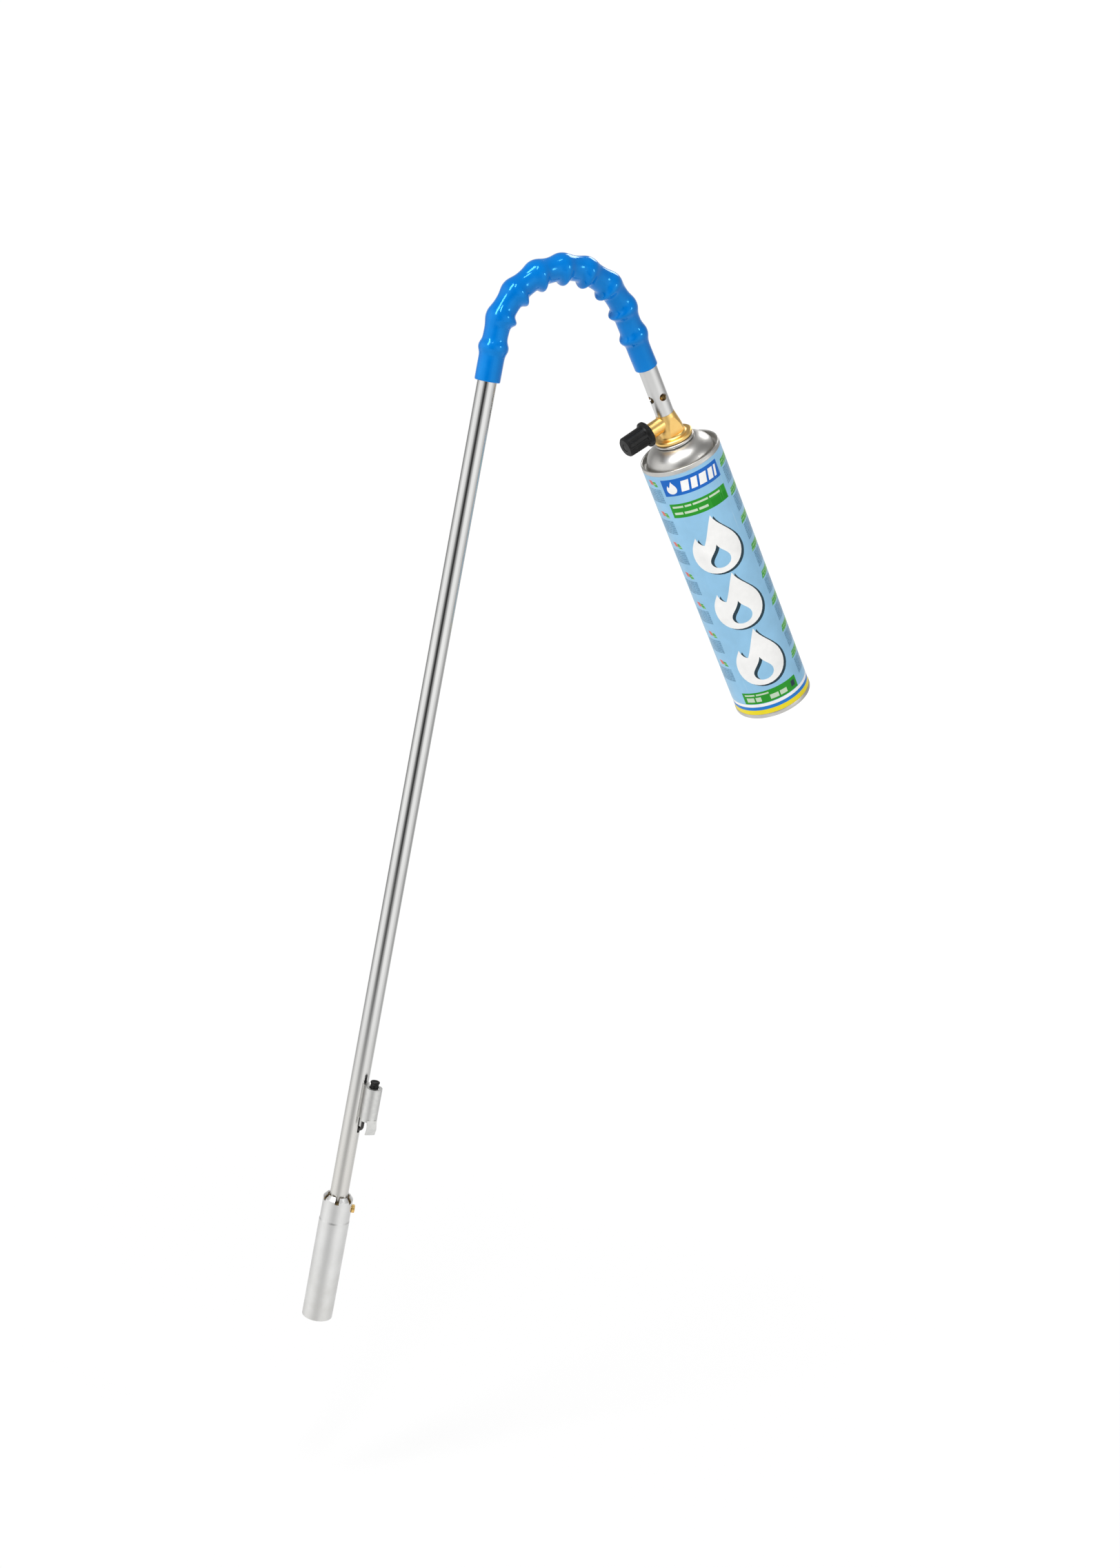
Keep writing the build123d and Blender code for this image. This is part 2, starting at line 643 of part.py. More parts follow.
with BuildPart() as control_knob:
    with BuildSketch(knob_section):
        with BuildLine():
            Polyline(
                (SPINDLE_R + 0.03, KNOB_START),
                (KNOB_FLANGE_R - 0.8, KNOB_START),
                (KNOB_FLANGE_R, KNOB_START + 0.8),
                (KNOB_FLANGE_R, KNOB_START + KNOB_FLANGE - 1.0),
                (KNOB_R + 0.5, KNOB_START + KNOB_FLANGE),
                (KNOB_R, KNOB_START + KNOB_FLANGE + 1.0),
                (KNOB_R - 0.2, KNOB_END - 1.2),
                (KNOB_R - 1.4, KNOB_END),
                (3.2, KNOB_END),
                (3.2, SCREW_SEAT),
                (1.4, SCREW_SEAT),
                (1.4, SPINDLE_END + 0.1),
                (SPINDLE_R + 0.03, SPINDLE_END + 0.1),
                close=True,
            )
        make_face()
    revolve(axis=knob_axis)
    with BuildSketch(knob_plane.offset(KNOB_START + KNOB_FLANGE + 1.5)):
        with PolarLocations(KNOB_R + 0.8, 10):
            Circle(1.5)
    extrude(amount=KNOB_END, mode=Mode.SUBTRACT)
    with BuildSketch(knob_plane.offset(KNOB_START)):
        with PolarLocations(KNOB_FLANGE_R + 0.7, 20):
            Circle(1.0)
    extrude(amount=KNOB_FLANGE + 0.5, mode=Mode.SUBTRACT)
control_knob.part.label = "control_knob"
export_step(control_knob.part, "parts/control_knob.step")

with BuildPart() as knob_screw:
    with BuildSketch(knob_plane.offset(SPINDLE_END - 7.0)):
        Circle(1.25)
    extrude(amount=SCREW_SEAT - SPINDLE_END + 7.5)
    with BuildSketch(knob_plane.offset(SCREW_SEAT + 0.03)):
        Circle(2.7)
    extrude(amount=1.9)
    with BuildSketch(knob_plane.offset(SCREW_SEAT + 1.2)):
        Rectangle(0.7, 3.2)
        Rectangle(3.2, 0.7)
    extrude(amount=2, mode=Mode.SUBTRACT)
knob_screw.part.label = "knob_screw"
export_step(knob_screw.part, "parts/knob_screw.step")

with BuildPart() as knob_cap:
    with BuildSketch(knob_plane.offset(KNOB_END - 1.6)):
        Circle(3.15)
    extrude(amount=1.4)
    chamfer(knob_cap.faces().sort_by(knob_axis)[-1].edges(), 0.4)
knob_cap.part.label = "knob_cap"
export_step(knob_cap.part, "parts/knob_cap.step")

# ---------------------------------------------------------------- gas cartridge
SEAM = 1.5
GROOVE = CAN_RIM + 4.6
DOME_EDGE_R = 14.9
DOME_MIDDLE_R = 23.0
CUP_TOP = 113.0
CUP_FLOOR = 119.0
DOME_EDGE = CUP_TOP + 2.8
DOME_MIDDLE = CUP_TOP + 6.9
NIPPLE_TOP = 104.3
NIPPLE_BORE = 2.3
STEM_R = 1.9
STEM_TOP = 106.7
STEM_FOOT = 121.5

with BuildPart() as can_body:
    with BuildSketch(leg_plane.offset(PRINT_TOP)):
        Circle(CAN_R)
        Circle(CAN_R - CAN_WALL, mode=Mode.SUBTRACT)
    extrude(amount=PRINT_FOOT - PRINT_TOP)
can_body.part.label = "can_body"
export_step(can_body.part, "parts/can_body.step")

with BuildPart() as can_dome:
    with BuildSketch(leg_section):
        with BuildLine():
            Polyline(
                (CAN_R, PRINT_TOP - 0.05),
                (CAN_R, CAN_RIM + 0.5),
                (CAN_R - 0.5, CAN_RIM),
                (CAN_R - SEAM + 0.3, CAN_RIM),
                (CAN_R - SEAM, CAN_RIM + 0.4),
                (CAN_R - SEAM - 0.4, GROOVE),
            )
            ThreePointArc(
                (CAN_R - SEAM - 0.4, GROOVE),
                (CAN_R - SEAM - 1.5, GROOVE + 0.9),
                (CAN_R - SEAM - 2.6, GROOVE),
            )
            ThreePointArc(
                (CAN_R - SEAM - 2.6, GROOVE),
                (DOME_MIDDLE_R, DOME_MIDDLE),
                (DOME_EDGE_R, DOME_EDGE),
            )
            Line((DOME_EDGE_R, DOME_EDGE), (DOME_EDGE_R, DOME_EDGE + 0.6))
            ThreePointArc(
                (DOME_EDGE_R, DOME_EDGE + 0.6),
                (DOME_MIDDLE_R - 0.4, DOME_MIDDLE + 0.6),
                (CAN_R - SEAM - 3.2, GROOVE),
            )
            ThreePointArc(
                (CAN_R - SEAM - 3.2, GROOVE),
                (CAN_R - SEAM - 1.5, GROOVE + 1.6),
                (CAN_R - SEAM + 0.2, GROOVE),
            )
            Line((CAN_R - SEAM + 0.2, GROOVE), (CAN_R - SEAM + 0.4, PRINT_TOP - 0.05))
            Line((CAN_R - SEAM + 0.4, PRINT_TOP - 0.05), (CAN_R, PRINT_TOP - 0.05))
        make_face()
    revolve(axis=leg_axis)
can_dome.part.label = "can_dome"
export_step(can_dome.part, "parts/can_dome.step")

BASE_RISE = 12.0
BASE_HEEL = CAN_FOOT - 5.0
BASE_WALL = 0.6
BASE_HEEL_R = CAN_R - SEAM - 0.8
BASE_CAP = BASE_RISE - 5.0
BASE_SPHERE = (BASE_HEEL_R**2 + BASE_CAP**2) / (2 * BASE_CAP)
BASE_HALF = math.degrees(math.asin(BASE_HEEL_R / BASE_SPHERE))

with BuildPart() as can_base:
    with BuildSketch(leg_section):
        with BuildLine():
            sphere_centre = (0, BASE_HEEL - BASE_CAP + BASE_SPHERE)
            outer = CenterArc(sphere_centre, BASE_SPHERE, -90, BASE_HALF)
            inner = CenterArc(sphere_centre, BASE_SPHERE + BASE_WALL, -90, BASE_HALF)
            Line(outer @ 0, inner @ 0)
            Polyline(
                outer @ 1,
                (CAN_R - SEAM - 0.3, CAN_FOOT - 0.6),
                (CAN_R - SEAM + 0.2, CAN_FOOT),
                (CAN_R - 0.3, CAN_FOOT),
                (CAN_R + 0.3, CAN_FOOT - 0.6),
                (CAN_R + 0.3, PRINT_FOOT + 0.05),
                (CAN_R - SEAM + 0.6, PRINT_FOOT + 0.05),
                inner @ 1,
            )
        make_face()
    revolve(axis=leg_axis)
can_base.part.label = "can_base"
export_step(can_base.part, "parts/can_base.step")

with BuildPart() as valve_cup:
    with BuildSketch(leg_section):
        with BuildLine():
            Polyline(
                (CUP_R - 0.5, CUP_TOP + 2.4),
                (CUP_R, CUP_TOP + 1.9),
                (CUP_R, CUP_TOP + 0.7),
                (CUP_R - 0.7, CUP_TOP),
                (CUP_R - 2.0, CUP_TOP),
                (CUP_R - 2.6, CUP_TOP + 0.6),
                (CUP_R - 2.9, CUP_FLOOR),
                (8.2, CUP_FLOOR),
                (6.6, CUP_FLOOR - 1.4),
                (THREAD_R, CUP_FLOOR - 3.0),
                (THREAD_R, NIPPLE_TOP + 0.5),
                (THREAD_R - 0.5, NIPPLE_TOP),
                (NIPPLE_BORE, NIPPLE_TOP),
                (NIPPLE_BORE, STEM_FOOT - 2.5),
                (4.2, STEM_FOOT - 2.5),
                (4.2, STEM_FOOT + 6.0),
                (4.9, STEM_FOOT + 6.0),
                (4.9, CUP_FLOOR + 1.2),
                (8.0, CUP_FLOOR + 0.7),
                (CUP_R - 2.2, CUP_FLOOR + 0.7),
                (CUP_R - 1.9, CUP_TOP + 2.4),
                close=True,
            )
        make_face()
    revolve(axis=leg_axis)
valve_cup.part.label = "valve_cup"
export_step(valve_cup.part, "parts/valve_cup.step")

with BuildPart() as cup_gasket:
    with BuildSketch(leg_plane.offset(CUP_TOP + 2.45)):
        Circle(15.6)
        Circle(14.4, mode=Mode.SUBTRACT)
    extrude(amount=0.3)
cup_gasket.part.label = "cup_gasket"
export_step(cup_gasket.part, "parts/cup_gasket.step")

with BuildPart() as cartridge_stem:
    with BuildSketch(leg_section):
        with BuildLine():
            Polyline(
                (0, STEM_TOP),
                (STEM_R, STEM_TOP),
                (STEM_R, STEM_FOOT),
                (3.6, STEM_FOOT),
                (3.6, STEM_FOOT + 1.6),
                (0, STEM_FOOT + 1.6),
                close=True,
            )
        make_face()
    revolve(axis=leg_axis)
cartridge_stem.part.label = "cartridge_stem"
export_step(cartridge_stem.part, "parts/cartridge_stem.step")

with BuildPart() as stem_gasket:
    with BuildSketch(leg_plane.offset(STEM_FOOT - 2.3)):
        Circle(4.1)
        Circle(STEM_R + RUNNING, mode=Mode.SUBTRACT)
    extrude(amount=1.2)
stem_gasket.part.label = "stem_gasket"
export_step(stem_gasket.part, "parts/stem_gasket.step")

with BuildPart() as stem_spring:
    with BuildLine() as stem_spring_line:
        Helix(pitch=1.1, height=3.3, radius=2.6, center=BEND_FOOT + LEG * (STEM_FOOT + 2.1), direction=LEG)
    with BuildSketch(Plane(origin=stem_spring_line.line @ 0, z_dir=stem_spring_line.line % 0)):
        Circle(0.3)
    sweep(path=stem_spring_line.line)
stem_spring.part.label = "stem_spring"
export_step(stem_spring.part, "parts/stem_spring.step")
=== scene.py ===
import json
import math

import bmesh
import bpy
import numpy as np
from mathutils import Matrix, Vector, noise
from mathutils.geometry import delaunay_2d_cdt


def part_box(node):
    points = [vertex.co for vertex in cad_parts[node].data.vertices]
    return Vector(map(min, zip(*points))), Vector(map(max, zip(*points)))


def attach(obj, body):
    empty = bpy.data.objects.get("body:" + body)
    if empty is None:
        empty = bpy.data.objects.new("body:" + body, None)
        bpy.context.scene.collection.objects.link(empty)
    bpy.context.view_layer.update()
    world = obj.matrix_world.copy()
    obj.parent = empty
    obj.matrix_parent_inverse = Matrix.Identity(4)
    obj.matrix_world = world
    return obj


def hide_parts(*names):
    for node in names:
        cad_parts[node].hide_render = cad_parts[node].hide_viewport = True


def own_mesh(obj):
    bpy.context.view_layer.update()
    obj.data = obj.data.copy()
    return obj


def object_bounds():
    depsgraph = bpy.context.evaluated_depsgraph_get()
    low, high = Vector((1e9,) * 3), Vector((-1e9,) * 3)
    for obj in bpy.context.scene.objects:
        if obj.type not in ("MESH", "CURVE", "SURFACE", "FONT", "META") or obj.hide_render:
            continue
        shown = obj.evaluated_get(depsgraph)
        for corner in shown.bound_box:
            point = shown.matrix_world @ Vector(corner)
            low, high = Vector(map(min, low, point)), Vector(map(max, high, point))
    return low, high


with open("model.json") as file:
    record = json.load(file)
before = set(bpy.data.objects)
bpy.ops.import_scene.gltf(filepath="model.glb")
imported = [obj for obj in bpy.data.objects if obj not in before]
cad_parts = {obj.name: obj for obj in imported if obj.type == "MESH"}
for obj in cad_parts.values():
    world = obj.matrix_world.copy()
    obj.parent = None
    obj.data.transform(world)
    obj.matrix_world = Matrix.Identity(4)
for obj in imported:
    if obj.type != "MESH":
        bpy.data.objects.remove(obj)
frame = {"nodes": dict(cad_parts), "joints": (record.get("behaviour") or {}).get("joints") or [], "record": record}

cad_low, cad_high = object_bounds()

# Lengths below are in millimetres, and MM turns them into Blender's metres.
MM = 0.001

# ------------------------------------------------------------------ frame of the short leg and of the knob
joints = {joint["name"]: joint for joint in frame["joints"]}
LEG = Vector(joints["cartridge_turn"]["axis"]).normalized()
TO_LANCE = Vector(joints["knob_turn"]["axis"]).normalized()
ACROSS = Vector((0, 1, 0))
CARTRIDGE_MARK = 126.0
LEG_START = Vector(joints["cartridge_turn"]["pos_m"]) - LEG * CARTRIDGE_MARK * MM
BEND = math.acos(LEG.z)
BEND_R = LEG_START.x / (1 - LEG.z) / MM
BEND_LENGTH = BEND_R * BEND


def reach(node):
    """Where a node begins and ends along the short leg, and its largest radius about the leg's axis, in mm."""
    offsets = [vertex.co - LEG_START for vertex in frame["nodes"][node].data.vertices]
    along = [offset.dot(LEG) for offset in offsets]
    away = [(offset - LEG * distance).length for offset, distance in zip(offsets, along)]
    return min(along) / MM, max(along) / MM, max(away) / MM


PRINT_TOP, PRINT_FOOT, CAN_R = reach("can_body")
CAN_FOOT = reach("can_base")[1]
NIPPLE_TOP, _, CUP_R = reach("valve_cup")
CUP_TOP = NIPPLE_TOP + 8.7


def grip_frame(distance):
    """Centre, direction and outward side of the bent tube, at a distance past the start of the bend."""
    angle = min(max(distance / BEND_R, 0.0), BEND)
    along = Vector((math.sin(angle), 0, math.cos(angle)))
    outward = Vector((-math.cos(angle), 0, math.sin(angle)))
    centre = Vector((BEND_R * (1 - math.cos(angle)), 0, BEND_R * math.sin(angle)))
    centre += along * (min(distance, 0.0) + max(distance - BEND_LENGTH, 0.0))
    return centre * MM, along, outward


# ------------------------------------------------------------------ mesh helpers
def made(name, bm, *materials, sharp=32.0):
    """Turns a bmesh into a smooth-shaded object whose corners over the given angle stay sharp."""
    bmesh.ops.remove_doubles(bm, verts=bm.verts, dist=1e-7)
    bmesh.ops.recalc_face_normals(bm, faces=bm.faces)
    mesh = bpy.data.meshes.new(name)
    bm.to_mesh(mesh)
    bm.free()
    piece = bpy.data.objects.new(name, mesh)
    bpy.context.scene.collection.objects.link(piece)
    mesh.shade_smooth()
    mesh.set_sharp_from_angle(angle=math.radians(sharp))
    for material in materials:
        mesh.materials.append(material)
    return piece


def arc(start, through, end, steps=12):
    """Points of the circular arc that leaves start, passes through the middle point and reaches end."""
    (ax, ay), (bx, by), (cx, cy) = start, through, end
    twice = 2 * (ax * (by - cy) + bx * (cy - ay) + cx * (ay - by))
    squares = ax**2 + ay**2, bx**2 + by**2, cx**2 + cy**2
    x = (squares[0] * (by - cy) + squares[1] * (cy - ay) + squares[2] * (ay - by)) / twice
    y = (squares[0] * (cx - bx) + squares[1] * (ax - cx) + squares[2] * (bx - ax)) / twice
    radius = math.hypot(ax - x, ay - y)
    first, middle, last = (math.atan2(q - y, p - x) for p, q in (start, through, end))
    sweep = (last - first) % (2 * math.pi)
    if (middle - first) % (2 * math.pi) > sweep:
        sweep -= 2 * math.pi
    turns = [first + sweep * step / steps for step in range(steps + 1)]
    return [Vector((x + radius * math.cos(turn), y + radius * math.sin(turn))) for turn in turns]


def bezier(start, *curves, steps=9):
    """A closed outline from cubic curves, each given by its two handles and its end."""
    outline = []
    here = Vector(start)
    for curve in curves:
        handle, other, end = (Vector(point) for point in curve)
        for step in range(1, steps + 1):
            t = step / steps
            point = here * (1 - t) ** 3 + handle * 3 * t * (1 - t) ** 2
            point = point + other * 3 * t**2 * (1 - t) + end * t**3
            outline.append(point)
        here = end
    return outline


def turned(bm, outline, origin, axis, side, steps=128, shape=None):
    """Adds a turned solid: a closed outline of (radius, distance) pairs, in millimetres, spun round an axis.

    shape, where given, is a function of (radius, distance, angle) that returns the radius to use."""
    other = axis.cross(side)
    rings = []
    for radius, distance in outline:
        ring = []
        for step in range(1 if radius < 1e-6 else steps):
            angle = 2 * math.pi * step / steps
            size = shape(radius, distance, angle) if shape else radius
            outward = side * math.cos(angle) + other * math.sin(angle)
            ring.append(bm.verts.new(origin + (axis * distance + outward * size) * MM))
        rings.append(ring)
    for ring, after in zip(rings, rings[1:] + rings[:1]):
        if len(ring) == 1 and len(after) == 1:
            continue
        for step in range(steps):
            corners = [ring[step % len(ring)], ring[(step + 1) % len(ring)]]
            corners += [after[(step + 1) % len(after)], after[step % len(after)]]
            distinct = list(dict.fromkeys(corners))
            if len(distinct) > 2:
                bm.faces.new(distinct)


def on_body(piece, body, slot, *nodes):
    """Lets a piece ride on a body and stand for the CAD nodes named; the slot argument is not used."""
    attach(piece, body)
    if nodes:
        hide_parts(*nodes)
    return piece


# ------------------------------------------------------------------ material helpers
class Surface:
    """A principled material with short names for the nodes that all the finishes here share."""

    def __init__(self, name, metallic=0.0, roughness=0.5, ior=1.5, **sockets):
        self.material = bpy.data.materials.new(name)
        self.material.use_nodes = True
        self.nodes = self.material.node_tree.nodes
        self.links = self.material.node_tree.links
        self.shader = self.nodes["Principled BSDF"]
        self.shader.inputs["Metallic"].default_value = metallic
        self.shader.inputs["Roughness"].default_value = roughness
        self.shader.inputs["IOR"].default_value = ior
        for socket, value in sockets.items():
            self.shader.inputs[socket.replace("_", " ")].default_value = value
        self.place = self.nodes.new("ShaderNodeTexCoord").outputs["Object"]

    def plug(self, value, socket):
        if isinstance(value, bpy.types.NodeSocket):
            self.links.new(value, socket)
        else:
            socket.default_value = value

    def along(self, axis, scale_across, scale_along):
        """Object coordinates turned so that Z runs along the axis, then scaled."""
        turn = self.nodes.new("ShaderNodeMapping")
        turn.vector_type = "POINT"
        turn.inputs["Rotation"].default_value = Vector(axis).rotation_difference(Vector((0, 0, 1))).to_euler()
        self.links.new(self.place, turn.inputs["Vector"])
        size = self.nodes.new("ShaderNodeMapping")
        size.inputs["Scale"].default_value = (scale_across, scale_across, scale_along)
        self.links.new(turn.outputs["Vector"], size.inputs["Vector"])
        return size.outputs["Vector"]

    def noise(self, scale, detail=3.0, roughness=0.5, vector=None, distortion=0.0):
        node = self.nodes.new("ShaderNodeTexNoise")
        self.links.new(vector or self.place, node.inputs["Vector"])
        node.inputs["Scale"].default_value = scale
        node.inputs["Detail"].default_value = detail
        node.inputs["Roughness"].default_value = roughness
        node.inputs["Distortion"].default_value = distortion
        return node.outputs["Fac"]

    def span(self, value, low, high, to_low=0.0, to_high=1.0, smooth=False):
        """Maps low..high of a value to to_low..to_high, and holds it there outside."""
        node = self.nodes.new("ShaderNodeMapRange")
        node.interpolation_type = "SMOOTHSTEP" if smooth else "LINEAR"
        self.plug(value, node.inputs["Value"])
        for socket, number in zip(("From Min", "From Max", "To Min", "To Max"), (low, high, to_low, to_high)):
            node.inputs[socket].default_value = number
        return node.outputs["Result"]

    def maths(self, operation, first, second=0.0, third=0.0):
        node = self.nodes.new("ShaderNodeMath")
        node.operation = operation
        for value, socket in zip((first, second, third), node.inputs):
            self.plug(value, socket)
        return node.outputs["Value"]

    def mix(self, share, first, second, blend="MIX"):
        node = self.nodes.new("ShaderNodeMix")
        node.data_type = "RGBA"
        node.blend_type = blend
        self.plug(share, node.inputs[0])
        for value, socket in ((first, node.inputs[6]), (second, node.inputs[7])):
            if isinstance(value, bpy.types.NodeSocket):
                self.links.new(value, socket)
            else:
                socket.default_value = (*value, 1.0)
        return node.outputs[2]

    def part(self, index, vector=None):
        node = self.nodes.new("ShaderNodeSeparateXYZ")
        self.links.new(vector or self.place, node.inputs[0])
        return node.outputs[index]

    def colour(self, value):
        if isinstance(value, bpy.types.NodeSocket):
            self.links.new(value, self.shader.inputs["Base Color"])
        else:
            self.shader.inputs["Base Color"].default_value = (*value, 1.0)

    def rough(self, value):
        self.links.new(value, self.shader.inputs["Roughness"])

    def bump(self, *layers):
        """Stacks bumps: each layer is a height, a strength and a depth in millimetres."""
        normal = None
        for height, strength, depth in layers:
            node = self.nodes.new("ShaderNodeBump")
            node.inputs["Strength"].default_value = strength
            node.inputs["Distance"].default_value = depth * MM
            self.links.new(height, node.inputs["Height"])
            if normal:
                self.links.new(normal, node.inputs["Normal"])
            normal = node.outputs["Normal"]
        self.links.new(normal, self.shader.inputs["Normal"])


# ------------------------------------------------------------------ metal finishes
STEEL = (0.74, 0.74, 0.73)
ZINC = (0.76, 0.76, 0.74)
TIN = (0.67, 0.66, 0.635)
BRASS = (0.98, 0.67, 0.24)


def scuffs(surface, scale, coverage, direction=(0, 0, 1), stretch=0.05):
    """Fine scratches along a direction: 1 in a scratch and 0 elsewhere."""
    streaks = surface.noise(scale, 2.0, 0.6, surface.along(direction, 1.0, stretch), 0.4)
    patches = surface.noise(scale * 0.04, 2.0, 0.5)
    lines = surface.span(streaks, 0.66 - coverage * 0.1, 0.72)
    return surface.maths("MULTIPLY", lines, surface.span(patches, 0.42, 0.6))


def polished_stainless():
    """The drawn tube: mirror-bright on the lance, satin on the short leg and dulled by heat near the burner."""
    made_of = Surface("polished_stainless", metallic=1.0)
    drawn = made_of.noise(900.0, 3.0, 0.6, made_of.along((0, 0, 1), 1.0, 0.012))
    smears = made_of.noise(28.0, 4.0, 0.62, made_of.along((0, 0, 1), 1.0, 0.35))
    leg = made_of.span(made_of.part(0), 0.030, 0.100, smooth=True)
    heat = made_of.span(made_of.part(2), -0.52, -0.70, smooth=True)
    shade = made_of.mix(made_of.span(smears, 0.3, 0.75), STEEL, (0.66, 0.66, 0.655))
    shade = made_of.mix(made_of.maths("MULTIPLY", heat, 0.35), shade, (0.78, 0.74, 0.66))
    made_of.colour(shade)
    rough = made_of.span(smears, 0.35, 0.8, 0.10, 0.16)
    rough = made_of.maths("ADD", rough, made_of.span(drawn, 0.3, 0.8, 0.0, 0.04))
    rough = made_of.maths("ADD", rough, made_of.maths("MULTIPLY", leg, 0.20))
    rough = made_of.maths("ADD", rough, made_of.maths("MULTIPLY", heat, 0.16))
    marks = scuffs(made_of, 700.0, 0.4)
    made_of.rough(made_of.maths("ADD", rough, made_of.maths("MULTIPLY", marks, 0.10)))
    made_of.bump((drawn, 0.03, 0.02), (marks, 0.08, 0.01), (smears, 0.05, 0.12))
    return made_of.material


def burner_steel():
    """The satin head, with a faint drawn grain, heat-greyed towards its mouth."""
    made_of = Surface("burner_steel", metallic=1.0)
    grain = made_of.noise(1500.0, 3.0, 0.6, made_of.along((0, 0, 1), 1.0, 0.03))
    cloud = made_of.noise(45.0, 5.0, 0.6)
    heat = made_of.span(made_of.part(2), -0.735, -0.806, smooth=True)
    stain = made_of.maths("MULTIPLY", heat, made_of.span(cloud, 0.35, 0.7))
    shade = made_of.mix(made_of.span(cloud, 0.3, 0.7), (0.86, 0.86, 0.85), (0.80, 0.80, 0.79))
    made_of.colour(made_of.mix(made_of.maths("MULTIPLY", stain, 0.35), shade, (0.74, 0.72, 0.67)))
    rough = made_of.span(cloud, 0.3, 0.7, 0.36, 0.46)
    rough = made_of.maths("ADD", rough, made_of.maths("MULTIPLY", stain, 0.12))
    made_of.rough(made_of.maths("ADD", rough, made_of.span(grain, 0.3, 0.8, -0.04, 0.06)))
    made_of.bump((grain, 0.07, 0.02), (scuffs(made_of, 520.0, 0.5), 0.12, 0.02), (cloud, 0.07, 0.2))
    return made_of.material


def sheet_steel():
    """Bright zinc plate with a faint crystal pattern and rubbed spots."""
    made_of = Surface("sheet_steel", metallic=1.0)
    cells = made_of.nodes.new("ShaderNodeTexVoronoi")
    made_of.links.new(made_of.place, cells.inputs["Vector"])
    cells.inputs["Scale"].default_value = 420.0
    spangle = made_of.nodes.new("ShaderNodeSeparateColor")
    made_of.links.new(cells.outputs["Color"], spangle.inputs[0])
    tone = spangle.outputs[0]
    cloud = made_of.noise(180.0, 4.0, 0.6)
    made_of.colour(made_of.mix(made_of.span(tone, 0.0, 1.0, 0.0, 0.5), ZINC, (0.66, 0.665, 0.66)))
    rough = made_of.span(cloud, 0.3, 0.7, 0.38, 0.48)
    made_of.rough(made_of.maths("ADD", rough, made_of.span(tone, 0, 1, 0, 0.04)))
    made_of.bump((cloud, 0.08, 0.08), (scuffs(made_of, 900.0, 0.6, (1, 0.3, 1)), 0.12, 0.02))
    return made_of.material


def tinplate():
    """Pressed tinplate: bright, with rings from the press tool round the cartridge's axis and dull spots."""
    made_of = Surface("tinplate", metallic=1.0)
    rings = made_of.nodes.new("ShaderNodeTexNoise")
    rings.noise_dimensions = "1D"
    made_of.links.new(axis_distance(made_of), rings.inputs["W"])
    rings.inputs["Scale"].default_value = 2.4
    rings.inputs["Detail"].default_value = 3.0
    cloud = made_of.noise(70.0, 4.0, 0.6)
    specks = made_of.span(made_of.noise(900.0, 2.0, 0.5), 0.70, 0.76)
    seams = made_of.span(axis_distance(made_of), 31.6, 30.4, smooth=True)
    dull = made_of.maths("MULTIPLY", made_of.maths("SUBTRACT", 1.0, seams), made_of.span(cloud, 0.4, 0.7))
    shade = made_of.mix(made_of.span(cloud, 0.3, 0.75), TIN, (0.60, 0.59, 0.565))
    shade = made_of.mix(made_of.maths("MULTIPLY", dull, 0.25), shade, (0.54, 0.53, 0.505))
    made_of.colour(made_of.mix(made_of.maths("MULTIPLY", specks, 0.25), shade, (0.50, 0.45, 0.38)))
    rough = made_of.span(cloud, 0.3, 0.7, 0.34, 0.40)
    rough = made_of.maths("ADD", rough, made_of.maths("MULTIPLY", dull, 0.05))
    made_of.rough(made_of.maths("ADD", rough, made_of.maths("MULTIPLY", specks, 0.2)))
    made_of.bump((rings.outputs["Fac"], 0.05, 0.05), (cloud, 0.04, 0.3))
    return made_of.material


def brass():
    """Turned and forged brass: tool rings on what is turned, a fine sandy skin and darker hollows."""
    made_of = Surface("brass", metallic=1.0)
    rings = made_of.nodes.new("ShaderNodeTexNoise")
    rings.noise_dimensions = "1D"
    made_of.links.new(axis_distance(made_of), rings.inputs["W"])
    rings.inputs["Scale"].default_value = 5.0
    skin = made_of.noise(1400.0, 3.0, 0.6)
    cloud = made_of.noise(120.0, 5.0, 0.65)
    shade = made_of.mix(made_of.span(cloud, 0.35, 0.7), BRASS, (0.94, 0.61, 0.20))
    made_of.colour(made_of.mix(made_of.span(skin, 0.55, 0.8, 0.0, 0.3), shade, (0.82, 0.51, 0.16)))
    rough = made_of.span(cloud, 0.3, 0.7, 0.31, 0.39)
    rough = made_of.maths("ADD", rough, made_of.span(skin, 0.3, 0.8, 0.0, 0.05))
    made_of.rough(rough)
    made_of.bump((rings.outputs["Fac"], 0.12, 0.05), (skin, 0.08, 0.03), (cloud, 0.08, 0.2))
    return made_of.material


def wire(name, colour, darker, roughness):
    """Drawn wire or small turned steel with an oily film."""
    made_of = Surface(name, metallic=1.0)
    film = made_of.noise(400.0, 4.0, 0.6)
    grain = made_of.noise(3000.0, 2.0, 0.5)
    made_of.colour(made_of.mix(made_of.span(film, 0.3, 0.7), colour, darker))
    made_of.rough(made_of.span(film, 0.3, 0.7, roughness - 0.06, roughness + 0.10))
    made_of.bump((grain, 0.15, 0.02), (film, 0.15, 0.06))
    return made_of.material


